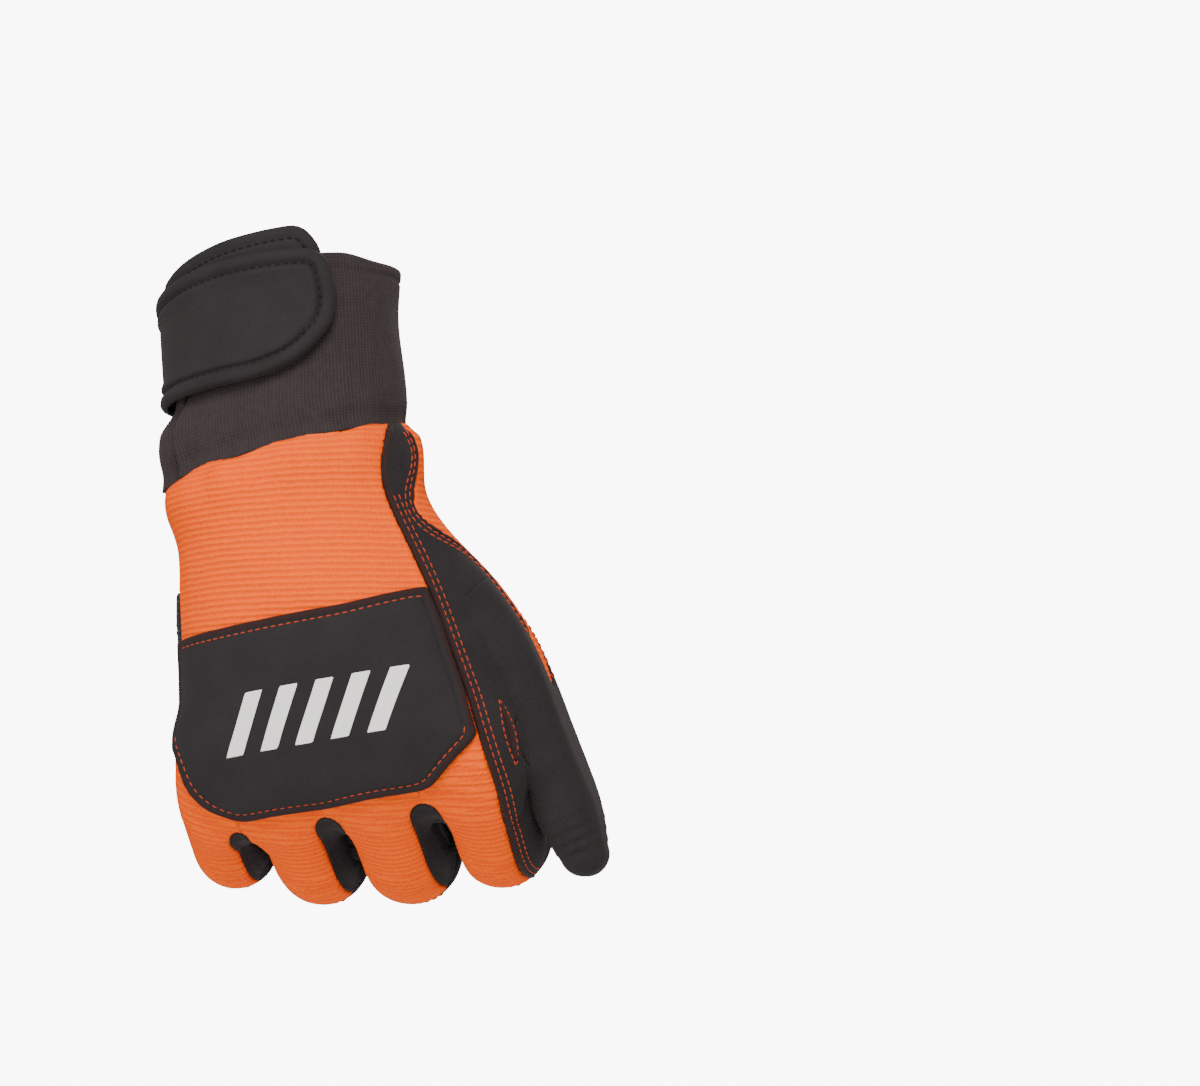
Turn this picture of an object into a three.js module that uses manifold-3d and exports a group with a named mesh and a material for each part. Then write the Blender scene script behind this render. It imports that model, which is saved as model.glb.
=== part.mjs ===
// Right-hand chainsaw work glove, worn shape with curled fingers, fingers pointing down.
// The glove is a sewn shell: a hollow hand form whose wall is cut along its seams into panels,
// with a knit cuff above it, a two-layer wrist strap round the cuff and two sewn-on patches.
// Frame, in millimetres: origin at the middle of the wrist opening, +Z up out of the cuff,
// -Y the back of the hand, +Y the palm, +X the thumb side.
import * as THREE from 'three';
import { mergeVertices } from 'three/addons/utils/BufferGeometryUtils.js';
import Module from 'manifold-3d';

const wasm = await Module();
wasm.setup();

// Driving sizes
const palmWidth = 117; // across the knuckles, outside
const palmDepth = 60; // padded wrist and palm, back to front, outside
const handLength = 123; // from the cuff seam to the webs between the fingers
const cuffWidth = 78; // wrist opening, outside
const cuffDepth = 62;
const cuffLength = 60;
const cuffWall = 3; // neoprene-backed knit
const skinWall = 2.4; // lined back, palm and finger panels
const patchThickness = 1.8;
const strapThickness = 2;
const strapWidth = 38;
const fingerDiameter = 29;
const fingerLength = 103; // middle finger, from its hidden root to its tip, along the curl
const fingerCurl = 52; // degrees between the hand and the first finger bones
const seamTilt = 7; // degrees, the cuff seam falls to the little-finger side
const thumbLength = 128; // from its root in the palm to its tip
const thumbDepth = 34; // across the thumb pad
const slotWidth = 8.4; // black side walls seen between two finger backs
const seamGap = 0.3; // cut between two sewn panels
const ventWidth = 4; // slit of the cuff under the strap

// Mesh fineness
const bodySides = 28;
const cuffSides = 28;
const fingerSides = 12;
const thumbSides = 16;
const tipRings = 3;

const X = new THREE.Vector3(1, 0, 0);
const Y = new THREE.Vector3(0, 1, 0);
const Z = new THREE.Vector3(0, 0, 1);
const down = new THREE.Vector3(0, 0, -1);
const far = 2 * (handLength + palmWidth); // reaches past everything
const overlap = 0.01; // joins two prisms into one

// Solids and meshes

function solidOf(geometry) {
  const bare = geometry.clone();
  bare.deleteAttribute('normal');
  bare.deleteAttribute('uv');
  const merged = mergeVertices(bare, 1e-4);
  return new wasm.Manifold(new wasm.Mesh({
    numProp: 3,
    vertProperties: new Float32Array(merged.attributes.position.array),
    triVerts: new Uint32Array(merged.index.array),
  }));
}

function meshOf(solid, name, material) {
  const bodies = solid.decompose().sort((a, b) => b.volume() - a.volume());
  const main = bodies[0].getMesh();
  const geometry = new THREE.BufferGeometry();
  geometry.setAttribute('position', new THREE.BufferAttribute(main.vertProperties, 3));
  geometry.setIndex(new THREE.BufferAttribute(main.triVerts, 1));
  geometry.computeVertexNormals();
  const mesh = new THREE.Mesh(geometry, material);
  mesh.name = name;
  return mesh;
}

// One ring of a loft: a superellipse round a station's centre, square to its direction, grown by an offset.
function ringPoints(station, grow, sides) {
  const across = X.clone().addScaledVector(station.along, -X.dot(station.along)).normalize();
  const deep = new THREE.Vector3().crossVectors(station.along, across);
  const reach = 2 / (station.power ?? 2);
  const points = [];
  for (let k = 0; k < sides; k++) {
    const turn = (2 * Math.PI * k) / sides;
    const c = Math.cos(turn);
    const s = Math.sin(turn);
    const u = Math.sign(c) * Math.abs(c) ** reach * Math.max(station.halfWidth + grow, 0.4);
    const v = Math.sign(s) * Math.abs(s) ** reach * Math.max(station.halfDepth + grow, 0.4);
    points.push(station.centre.clone().addScaledVector(across, u).addScaledVector(deep, v));
  }
  return points;
}

// Closed skin through the stations, with a fan on each end.
function loft(stations, grow, sides) {
  const rings = stations.map((station) => ringPoints(station, grow, sides));
  const first = stations[0].centre;
  const last = stations[stations.length - 1].centre;
  const positions = [...rings.flat(), first, last].flatMap((p) => [p.x, p.y, p.z]);
  const firstHub = rings.length * sides;
  const index = [];
  for (let k = 0; k < sides; k++) {
    const next = (k + 1) % sides;
    for (let i = 0; i + 1 < rings.length; i++) {
      const a = i * sides;
      const b = a + sides;
      index.push(a + k, a + next, b + next, a + k, b + next, b + k);
    }
    const end = (rings.length - 1) * sides;
    index.push(firstHub, next, k, firstHub + 1, end + k, end + next);
  }
  const geometry = new THREE.BufferGeometry();
  geometry.setAttribute('position', new THREE.BufferAttribute(new Float32Array(positions), 3));
  geometry.setIndex(index);
  return solidOf(geometry);
}

// Outline with rounded corners, rows of [across, up, corner radius].
function roundedShape(corners) {
  const shape = new THREE.Shape();
  corners.forEach(([x, y, radius = 0], i) => {
    const here = new THREE.Vector2(x, y);
    const before = corners.at(i - 1);
    const after = corners[(i + 1) % corners.length];
    const towards = (other) => {
      const leg = new THREE.Vector2(other[0], other[1]).sub(here);
      return here.clone().addScaledVector(leg.clone().normalize(), Math.min(radius, leg.length() / 2));
    };
    const enter = towards(before);
    const leave = towards(after);
    if (i === 0) shape.moveTo(enter.x, enter.y);
    else shape.lineTo(enter.x, enter.y);
    if (radius) shape.quadraticCurveTo(here.x, here.y, leave.x, leave.y);
  });
  return shape;
}

const cornerSteps = 4;

// Prism along Y of an outline in X and Z, or along X of an outline in Y and Z.
function prism(corners, direction, from, to) {
  const geometry = new THREE.ExtrudeGeometry(roundedShape(corners), {
    depth: to - from, bevelEnabled: false, curveSegments: cornerSteps,
  });
  if (direction === Y) {
    geometry.applyMatrix4(new THREE.Matrix4().makeBasis(X, Z, Y.clone().negate()));
    geometry.translate(0, to, 0);
  } else {
    geometry.applyMatrix4(new THREE.Matrix4().makeBasis(Y, Z, X));
    geometry.translate(from, 0, 0);
  }
  return solidOf(geometry);
}

// Outline moved outwards by a distance along its corner normals, for a seam's clearance.
function grownOutline(corners, grow) {
  const area = corners.reduce((sum, [x, y], i) => {
    const [nx, ny] = corners[(i + 1) % corners.length];
    return sum + x * ny - nx * y;
  }, 0);
  const side = Math.sign(area);
  return corners.map(([x, y, radius], i) => {
    const [px, py] = corners.at(i - 1);
    const [nx, ny] = corners[(i + 1) % corners.length];
    const enter = new THREE.Vector2(x - px, y - py).normalize();
    const leave = new THREE.Vector2(nx - x, ny - y).normalize();
    const normal = new THREE.Vector2(enter.y + leave.y, -enter.x - leave.x).normalize();
    const share = Math.max(Math.cos(enter.angleTo(leave) / 2), 0.5);
    return [x + (normal.x * side * grow) / share, y + (normal.y * side * grow) / share, radius];
  });
}

const unite = (solids) => solids.reduce((sum, solid) => sum.add(solid));

// The hand form

const cuffSeam = -cuffLength;
const handAt = (share) => cuffSeam - share * handLength;

// Sections of the hand: at is a share of the hand's length from the cuff seam, shift and width are
// shares of palmWidth, palmward and depth shares of palmDepth.
const bodyTable = [
  { at: 0.0, shift: -0.006, width: 0.684, palmward: 0.0, depth: 0.93, power: 2.1, tilt: 1 },
  { at: 0.03, shift: -0.006, width: 0.722, palmward: 0.0, depth: 0.965, power: 2.1, tilt: 0.9 },
  { at: 0.08, shift: -0.01, width: 0.74, palmward: 0.0, depth: 0.975, power: 2.1, tilt: 0.7 },
  { at: 0.2, shift: 0.002, width: 0.712, palmward: 0.01, depth: 0.9, power: 2.15, tilt: 0.3 },
  { at: 0.37, shift: 0.022, width: 0.784, palmward: 0.03, depth: 0.867, power: 2.2, tilt: 0 },
  { at: 0.6, shift: 0.053, width: 0.877, palmward: 0.045, depth: 0.82, power: 2.3, tilt: 0 },
  { at: 0.79, shift: 0.073, width: 0.945, palmward: 0.045, depth: 0.7, power: 2.4, tilt: 0 },
  { at: 0.9, shift: 0.075, width: 0.96, palmward: 0.06, depth: 0.54, power: 2.4, tilt: 0 },
  { at: 0.99, shift: 0.073, width: 0.91, palmward: 0.12, depth: 0.28, power: 2.2, tilt: 0 },
];

// Direction down the hand, leant over by a share of the seam's tilt.
function downAt(tilt) {
  return down.clone().applyAxisAngle(Y, THREE.MathUtils.degToRad(-seamTilt * tilt));
}

function bodyStations(table) {
  return table.map((row) => ({
    centre: new THREE.Vector3(row.shift * palmWidth, row.palmward * palmDepth, handAt(row.at)),
    along: downAt(row.tilt),
    halfWidth: (row.width * palmWidth) / 2,
    halfDepth: (row.depth * palmDepth) / 2,
    power: row.power,
  }));
}

// Fingers: knuckle is [across as a share of palmWidth, down as a share of handLength], girth a share of
// fingerDiameter, the three bones shares of fingerLength, lean the drift to the little-finger side.
const fingerTable = {
  index: { knuckle: [0.43, 0.868], girth: 1.03, bones: [0.44, 0.26, 0.19], lean: 0.07 },
  middle: { knuckle: [0.156, 0.874], girth: 1.05, bones: [0.45, 0.275, 0.19], lean: 0.06 },
  ring: { knuckle: [-0.11, 0.864], girth: 0.965, bones: [0.43, 0.265, 0.19], lean: 0.04 },
  little: { knuckle: [-0.326, 0.827], girth: 0.865, bones: [0.385, 0.21, 0.175], lean: 0.11 },
};
const fingerNames = Object.keys(fingerTable);

// Bends of a finger: after is the count of bones before the joint, turn a share of fingerCurl and
// spread the length over which it turns as a share of fingerLength, times the finger's girth.
const bendTable = [
  { after: 0, turn: 0.86, spread: 0.22 },
  { after: 1, turn: 1.9, spread: 0.3 },
  { after: 2, turn: 0.8, spread: 0.16 },
];
const knuckleDepth = 0.02; // of palmDepth, palmward
const rootLead = 0.11; // of fingerLength, hidden in the hand above the knuckle
const rootAngle = 0.14; // of fingerCurl
const capShare = 0.92; // the fingertip cover starts at this share of the first bone

// Path of a finger: walked in small steps, its direction turning steadily round each joint.
function fingerPath(finger) {
  const bones = finger.bones.map((share) => share * fingerLength);
  const lead = rootLead * fingerLength;
  const total = lead + bones[0] + bones[1] + bones[2];
  const joints = bendTable.map((bend) => ({
    at: lead + bones.slice(0, bend.after).reduce((sum, bone) => sum + bone, 0),
    turn: bend.turn * fingerCurl,
    spread: bend.spread * fingerLength * finger.girth,
  }));
  const angleAt = (s) => joints.reduce((sum, joint) => (
    sum + joint.turn * THREE.MathUtils.clamp((s - joint.at) / joint.spread + 0.5, 0, 1)
  ), rootAngle * fingerCurl);
  const directionAt = (s) => {
    const angle = THREE.MathUtils.degToRad(angleAt(s));
    return new THREE.Vector3(-finger.lean, Math.sin(angle), -Math.cos(angle)).normalize();
  };
  const steps = 120;
  const step = total / steps;
  const [across, at] = finger.knuckle;
  const knuckle = new THREE.Vector3(across * palmWidth, knuckleDepth * palmDepth, handAt(at));
  const points = [knuckle.addScaledVector(down, -lead)];
  for (let i = 0; i < steps; i++) {
    points.push(points[i].clone().addScaledVector(directionAt((i + 0.5) * step), step));
  }
  const pointAt = (s) => {
    const place = Math.min(Math.max(s / step, 0), steps - 1e-6);
    const i = Math.floor(place);
    return points[i].clone().lerp(points[i + 1], place - i);
  };
  return { total, lead, firstBone: bones[0], pointAt, directionAt, radius: (finger.girth * fingerDiameter) / 2 };
}

const paths = Object.fromEntries(fingerNames.map((name) => [name, fingerPath(fingerTable[name])]));

// Girth of a finger along its path, as a share of its own: at is a share of the path.
const fingerGirth = [
  { at: 0.0, girth: 0.8 },
  { at: 0.16, girth: 0.96 },
  { at: 0.3, girth: 1.0 },
  { at: 0.54, girth: 1.01 },
  { at: 0.7, girth: 0.95 },
  { at: 0.87, girth: 0.85 },
  { at: 1.0, girth: 0.82 },
];
const fingerFlatness = 0.96; // back to front over side to side
const tipRound = 0.92; // length of the rounded end over its radius
const rootSteps = 5; // stations before the fingertip cover
const capSteps = 7; // and along it

function girthAt(share) {
  const next = Math.max(fingerGirth.findIndex((row) => row.at >= share), 1);
  const a = fingerGirth[next - 1];
  const b = fingerGirth[next];
  return THREE.MathUtils.mapLinear(share, a.at, b.at, a.girth, b.girth);
}

// Stations of a finger from its hidden root to its rounded tip, the tip drawn in by an inset.
function fingerStations(name, inset) {
  const path = paths[name];
  const station = (s, scale) => ({
    centre: path.pointAt(s),
    along: path.directionAt(s),
    halfWidth: path.radius * scale,
    halfDepth: path.radius * scale * fingerFlatness,
  });
  const capStart = path.lead + capShare * path.firstBone;
  const tipGirth = girthAt(1);
  const tipLength = path.radius * tipGirth * tipRound;
  const tipStart = path.total - tipLength - inset;
  const rows = [];
  const place = (s) => rows.push(station(s, girthAt(s / path.total)));
  for (let k = 0; k < rootSteps; k++) place((capStart * k) / rootSteps);
  for (let k = 0; k <= capSteps; k++) place(capStart + ((tipStart - capStart) * k) / capSteps);
  for (let k = 1; k <= tipRings; k++) {
    const turn = (0.5 * Math.PI * k) / (tipRings + 0.35);
    rows.push(station(tipStart + tipLength * Math.sin(turn), tipGirth * Math.cos(turn)));
  }
  return rows;
}

// Thumb: across is a share of palmWidth, palmward of palmDepth, at a share of thumbLength below the cuff
// seam; width and depth are shares of thumbDepth.
const thumbTable = [
  { across: 0.16, palmward: 0.08, at: 0.17, width: 0.8, depth: 1.06 },
  { across: 0.3, palmward: 0.17, at: 0.3, width: 0.84, depth: 1.1 },
  { across: 0.408, palmward: 0.25, at: 0.42, width: 0.78, depth: 1.1 },
  { across: 0.495, palmward: 0.32, at: 0.55, width: 0.68, depth: 1.06 },
  { across: 0.56, palmward: 0.385, at: 0.7, width: 0.6, depth: 1.0 },
  { across: 0.605, palmward: 0.43, at: 0.85, width: 0.56, depth: 0.97 },
  { across: 0.63, palmward: 0.455, at: 0.97, width: 0.52, depth: 0.88 },
  { across: 0.645, palmward: 0.467, at: 1.06, width: 0.42, depth: 0.66 },
  { across: 0.65, palmward: 0.472, at: 1.105, width: 0.27, depth: 0.4 },
  { across: 0.652, palmward: 0.474, at: 1.125, width: 0.1, depth: 0.16 },
];
const thumbRoot = 2; // row at which the thumb's own cover starts
const thumbCentres = thumbTable.map((row) => new THREE.Vector3(
  row.across * palmWidth, row.palmward * palmDepth, cuffSeam - row.at * thumbLength));

function thumbStations(inset) {
  const last = thumbTable.length - 1;
  return thumbTable.map((row, i) => {
    const along = thumbCentres[Math.min(i + 1, last)].clone().sub(thumbCentres[Math.max(i - 1, 0)]).normalize();
    return {
      centre: thumbCentres[i].clone().addScaledVector(along, i > last - 3 ? -inset : 0),
      along,
      halfWidth: (row.width * thumbDepth) / 2,
      halfDepth: (row.depth * thumbDepth) / 2,
      power: 2.2,
    };
  });
}

// The hand and thumb with every section grown by an offset; negative for the hollow.
function palmForm(grow) {
  const body = bodyStations(bodyTable);
  const rise = grow < 0 ? 10 * seamGap : -seamGap;
  const top = { ...body[0], centre: body[0].centre.clone().setZ(cuffSeam + rise) };
  body[body.length - 1].centre.z -= grow;
  return loft([top, ...body.slice(1)], grow, bodySides)
    .add(loft(thumbStations(Math.max(-grow, 0)), grow, thumbSides));
}

function handForm(grow) {
  const fingers = fingerNames.map((name) => loft(fingerStations(name, Math.max(-grow, 0)), grow, fingerSides));
  return unite([palmForm(grow), ...fingers]);
}

const handOuter = handForm(0);
const handInner = handForm(-skinWall);
let remaining = handOuter.subtract(handInner);

// Seams: each zone is a function of how far it is grown, so that a panel and its neighbour keep the gap.

// Takes the panel in a zone out of what is left of the shell.
function cutPanel(zone) {
  const panel = remaining.intersect(zone(-seamGap / 2));
  remaining = remaining.subtract(zone(seamGap / 2));
  return panel;
}

// Zone round a finger or the thumb from one of its stations to its tip, just clear of its neighbours.
function sleeve(stations, from, sides, grow) {
  const rows = stations.slice(from);
  rows[0].centre.addScaledVector(rows[0].along, -grow);
  return loft(rows, 1.2 * seamGap + grow, sides);
}

const fingertipZone = (name) => (grow) => sleeve(fingerStations(name, 0), rootSteps, fingerSides, grow);
const thumbZone = (grow) => sleeve(thumbStations(0), thumbRoot, thumbSides, grow);

// Middle line between two fingers at the knuckles and at the bend of the first bone.
function slotLine(left, right) {
  const edge = (name, side, s) => paths[name].pointAt(s).x + side * paths[name].radius;
  const at = (share) => {
    const s = (name) => paths[name].lead + share * paths[name].firstBone;
    return (edge(left, 1, s(left)) + edge(right, -1, s(right))) / 2;
  };
  return { top: at(0.2), bottom: at(1) };
}

const fingerFoot = handAt(1.35);

// Zone between two fingers, from a share of handLength down past the finger's foot.
const slotZone = (left, right, from) => (grow) => {
  const slotTop = handAt(from);
  const line = slotLine(left, right);
  const half = slotWidth / 2 + grow;
  const slope = (line.bottom - line.top) / (0.2 * handLength);
  const x = (z) => line.top + slope * (slotTop - z);
  return prism([
    [x(slotTop) - half, slotTop + grow, slotWidth / 2],
    [x(fingerFoot) - half, fingerFoot, 0],
    [x(fingerFoot) + half, fingerFoot, 0],
    [x(slotTop) + half, slotTop + grow, slotWidth / 2],
  ], Y, -far / 2, far / 2);
};

// Seam down the thumb side of the back: across is a share of palmWidth, at of handLength.
const backSeam = [
  { across: 0.325, at: -0.08 },
  { across: 0.308, at: 0.02 },
  { across: 0.294, at: 0.07 },
  { across: 0.296, at: 0.15 },
  { across: 0.313, at: 0.22 },
  { across: 0.38, at: 0.41 },
  { across: 0.467, at: 0.73 },
  { across: 0.485, at: 0.85 },
  { across: 0.497, at: 0.95 },
  { across: 0.47, at: 1.1 },
  { across: 0.44, at: 1.3 },
];
const backSeamPoints = backSeam.map((row) => [row.across * palmWidth, handAt(row.at)]);

// Side seams of the hand, seen from the side: the palm lies inside them. Each finger's own path
// carries the line on through its curl. The first seam is the little finger's side, the second the thumb's.
const ulnarSeam = [
  { palmward: -0.1, at: -0.08 },
  { palmward: -0.1, at: 0.5 },
  { palmward: -0.06, at: 0.72 },
];
const radialSeam = [
  { palmward: 0.32, at: -0.08 },
  { palmward: 0.28, at: 0.3 },
  { palmward: 0.2, at: 0.55 },
  { palmward: 0.06, at: 0.74 },
];

const seamSteps = 7; // along each finger

function palmOutline(name, seam, grow) {
  const path = paths[name];
  const points = seam.map((row) => [row.palmward * palmDepth - grow, handAt(row.at)]);
  const from = 0.9 * path.lead;
  const reach = path.lead + 1.25 * path.firstBone;
  for (let k = 0; k <= seamSteps; k++) {
    const s = from + ((reach - from) * k) / seamSteps;
    const along = path.directionAt(s);
    const here = path.pointAt(s);
    points.push([here.y - Math.abs(along.z) * grow, here.z - along.y * grow]);
  }
  return [...points, [far / 2, points.at(-1)[1]], [far / 2, points[0][1]]];
}

// The palm side of each finger has its own slab of the outline, from slot to slot.
const palmZone = (grow) => {
  const lines = [-far / 2, slotLine('little', 'ring').top, slotLine('ring', 'middle').top,
    slotLine('middle', 'index').top, far / 2];
  return unite(['little', 'ring', 'middle', 'index'].map((name, i) => {
    const seam = name === 'index' ? radialSeam : ulnarSeam;
    return prism(palmOutline(name, seam, grow), X, lines[i] - overlap, lines[i + 1] + overlap);
  }));
};

const backZone = (grow) => {
  const edge = backSeamPoints.map(([x, z]) => [x + grow, z]);
  return prism([...edge, [-far / 2, edge.at(-1)[1]], [-far / 2, edge[0][1]]], Y, -far / 2, far / 2);
};

// Orange gusset on the thumb side of the wrist, seen from the side: a tapering leaf.
const gussetTable = [
  { palmward: -0.14, at: -0.08 },
  { palmward: -0.05, at: 0.07 },
  { palmward: -0.14, at: 0.19 },
  { palmward: -0.04, at: 0.26 },
  { palmward: 0.12, at: 0.3 },
  { palmward: 0.22, at: 0.38 },
  { palmward: 0.24, at: 0.55 },
  { palmward: 0.36, at: 0.74 },
  { palmward: 0.42, at: 0.6 },
  { palmward: 0.38, at: 0.3 },
  { palmward: 0.3, at: 0.14 },
  { palmward: 0.28, at: -0.08 },
];
// Its inner limit, which keeps the leaf on the outside of the thumb.
const gussetLimit = [
  { across: 0.2, at: -0.08 },
  { across: 0.24, at: 0.2 },
  { across: 0.36, at: 0.3 },
  { across: 0.5, at: 0.55 },
  { across: 0.56, at: 0.74 },
];
const gussetZone = (grow) => {
  const leaf = grownOutline(gussetTable.map((row) => [row.palmward * palmDepth, handAt(row.at)]), grow);
  const limit = gussetLimit.map((row) => [row.across * palmWidth - grow, handAt(row.at)]);
  const outside = [...limit, [far / 2, limit.at(-1)[1]], [far / 2, limit[0][1]]];
  return prism(leaf, X, 0, far / 2).intersect(prism(outside, Y, -far / 2, far / 2));
};

const fingertips = Object.fromEntries(fingerNames.map((name) => [name, cutPanel(fingertipZone(name))]));
const gusset = cutPanel(gussetZone);
const thumb = cutPanel(thumbZone);
const fourchettes = {
  index: cutPanel(slotZone('middle', 'index', 0.964)),
  middle: cutPanel(slotZone('ring', 'middle', 0.964)),
  ring: cutPanel(slotZone('little', 'ring', 0.93)),
};
const palm = cutPanel(palmZone);
const back = cutPanel(backZone);
const side = remaining;

// Patches: a layer over the hand, inside an outline seen from the back or the palm.
const underPatch = handForm(seamGap);
const patchLayer = (form, outline, from, to) => (
  form(seamGap + patchThickness).subtract(underPatch).intersect(prism(outline, Y, from, to)));

// Corners of the knuckle patch and of the palm patch: across is a share of palmWidth, at of handLength,
// corner the rounding as a share of palmWidth.
const knucklePatchTable = [
  { across: -0.47, at: 0.457, corner: 0 },
  { across: 0.378, at: 0.41, corner: 0 },
  { across: 0.462, at: 0.73, corner: 0 },
  { across: 0.476, at: 0.813, corner: 0.01 },
  { across: 0.324, at: 0.924, corner: 0.02 },
  { across: -0.248, at: 0.945, corner: 0.03 },
  { across: -0.367, at: 0.85, corner: 0.05 },
  { across: -0.47, at: 0.76, corner: 0 },
];
const palmPatchTable = [
  { across: -0.36, at: 0.3, corner: 0.08 },
  { across: -0.05, at: 0.2, corner: 0.08 },
  { across: 0.3, at: 0.35, corner: 0.08 },
  { across: 0.45, at: 0.53, corner: 0.05 },
  { across: 0.56, at: 0.7, corner: 0.02 },
  { across: 0.5, at: 0.88, corner: 0.04 },
  { across: -0.35, at: 0.84, corner: 0.04 },
];
const patchOutline = (table) => table.map(
  (row) => [row.across * palmWidth, handAt(row.at), row.corner * palmWidth]);

const knucklePatch = patchLayer(palmForm, patchOutline(knucklePatchTable), -far / 2, 0);
const palmPatch = patchLayer(palmForm, patchOutline(palmPatchTable), 0.12 * palmDepth, far / 2);

// The cuff and its strap

// Sections of the cuff: at is a share of cuffLength below the opening, width and depth shares of its sizes.
const cuffTable = [
  { at: 0.0, shift: 0.035, width: 0.98, depth: 1.0, tilt: 0 },
  { at: 0.3, shift: 0.02, width: 0.975, depth: 0.97, tilt: 0.1 },
  { at: 0.62, shift: 0.012, width: 0.975, depth: 0.93, tilt: 0.3 },
  { at: 0.8, shift: -0.015, width: 1.03, depth: 0.93, tilt: 0.6 },
  { at: 1.0, shift: -0.01, width: 1.03, depth: 0.92, tilt: 1 },
];

// The cuff's form, carried on straight past both of its ends by a margin.
function cuffForm(grow, margin) {
  const stations = cuffTable.map((row) => ({
    centre: new THREE.Vector3(row.shift * cuffWidth, 0, -row.at * cuffLength),
    along: downAt(row.tilt),
    halfWidth: (row.width * cuffWidth) / 2,
    halfDepth: (row.depth * cuffDepth) / 2,
    power: 2.1,
  }));
  const beyond = (station, rise) => ({ ...station, centre: station.centre.clone().addScaledVector(Z, rise) });
  const first = stations[0];
  const last = stations[stations.length - 1];
  const whole = margin > 0 ? [beyond(first, margin), ...stations, beyond(last, -margin)] : stations;
  return loft(whole, grow, cuffSides);
}

// Slit down the little-finger side of the cuff, closed by the strap: narrow at its foot.
const ventTop = 2 * seamGap;
const ventFoot = -0.86 * cuffLength;
const ventCut = prism([
  [-cuffDepth * 0.26 - ventWidth / 2, ventTop], [-cuffDepth * 0.26 + ventWidth / 2, ventTop],
  [-cuffDepth * 0.2, ventFoot],
], X, -far / 2, -cuffWidth * 0.3);

const cuff = cuffForm(0, 0).subtract(cuffForm(-cuffWall, cuffWall)).subtract(ventCut);

// Strap: the under layer stands above the cuff's edge, the tab lies over it and ends in a round corner.
// Corners on the back of the hand: across is a share of cuffWidth, up a share of strapWidth above the
// opening, corner the rounding as a share of strapWidth.
const underTable = [
  { across: -0.6, up: -0.24, corner: 0 },
  { across: -0.44, up: -0.08, corner: 0.1 },
  { across: -0.31, up: 0.05, corner: 0.15 },
  { across: -0.12, up: 0.17, corner: 0.1 },
  { across: 0.26, up: 0.25, corner: 0.12 },
  { across: 0.325, up: 0.03, corner: 0.1 },
  { across: 0.28, up: -0.75, corner: 0.2 },
  { across: -0.6, up: -0.95, corner: 0 },
];
const tabTable = [
  { across: -0.6, up: -0.42, corner: 0 },
  { across: -0.3, up: -0.12, corner: 0.2 },
  { across: 0.02, up: 0.01, corner: 0.1 },
  { across: 0.35, up: 0.0, corner: 0.14 },
  { across: 0.39, up: -0.5, corner: 0.2 },
  { across: 0.25, up: -0.92, corner: 0.2 },
  { across: 0.0, up: -1.03, corner: 0.1 },
  { across: -0.6, up: -1.08, corner: 0 },
];
const strapRoot = -0.3 * cuffWidth; // sewn end on the palm side
const strapMargin = 0.4 * strapWidth;

function strapLayer(inner, table) {
  const corners = table.map((row) => [row.across * cuffWidth, row.up * strapWidth, row.corner * strapWidth]);
  const top = corners[0][1];
  const foot = corners[corners.length - 1][1];
  const wrap = [[-far / 2, top], [strapRoot, top], [strapRoot, foot], [-far / 2, foot]];
  const reach = prism(corners, Y, -far / 2, overlap).add(prism(wrap, Y, 0, far / 2));
  const band = cuffForm(inner + strapThickness, strapMargin).subtract(cuffForm(inner, 2 * strapMargin));
  return band.intersect(reach);
}

const strapUnder = strapLayer(seamGap, underTable);
const strapTab = strapLayer(2 * seamGap + strapThickness, tabTable);

// Materials

const cloth = (name, color, roughness) => new THREE.MeshStandardMaterial({ name, color, roughness, metalness: 0 });
const orangeKnit = cloth('orange knit', 0xff6f1c, 0.85);
const blackKnit = cloth('black knit', 0x241f20, 0.95);
const blackSuede = cloth('black synthetic suede', 0x272122, 0.8);
const gripPrint = cloth('grip-printed synthetic leather', 0x1d1e20, 0.55);
const neoprene = cloth('black neoprene', 0x221d1f, 0.85);

const glove = new THREE.Group();
glove.name = 'glove';
glove.add(
  meshOf(cuff, 'cuff', blackKnit),
  meshOf(strapUnder, 'strap_under_layer', neoprene),
  meshOf(strapTab, 'strap_tab', neoprene),
  meshOf(back, 'back_panel', orangeKnit),
  meshOf(knucklePatch, 'knuckle_patch', neoprene),
  meshOf(side, 'side_panel', blackSuede),
  meshOf(gusset, 'thumb_gusset', orangeKnit),
  meshOf(thumb, 'thumb', blackSuede),
  meshOf(palm, 'palm', blackSuede),
  meshOf(palmPatch, 'palm_patch', gripPrint),
);
for (const name of fingerNames) glove.add(meshOf(fingertips[name], `${name}_fingertip`, blackSuede));
for (const [name, solid] of Object.entries(fourchettes)) glove.add(meshOf(solid, `${name}_fourchette`, blackSuede));

export default glove;
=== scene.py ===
"""Chainsaw work glove for the right hand, worn shape with curled fingers, fingers pointing down.

The hand is one smooth form, worked out as a distance from a body, four finger paths and a thumb path.
Its skin is cut along the glove's seams into panels, whose edges sink into the seams. Patches, strap
layers, piping and stitches lie on that skin. Lengths are millimetres in the same frame as the solids:
origin at the middle of the wrist opening, +Z out of the cuff, -Y the back of the hand, +X the thumb.
"""

import math

import bpy
import numpy as np
from mathutils import Matrix, Vector


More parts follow.
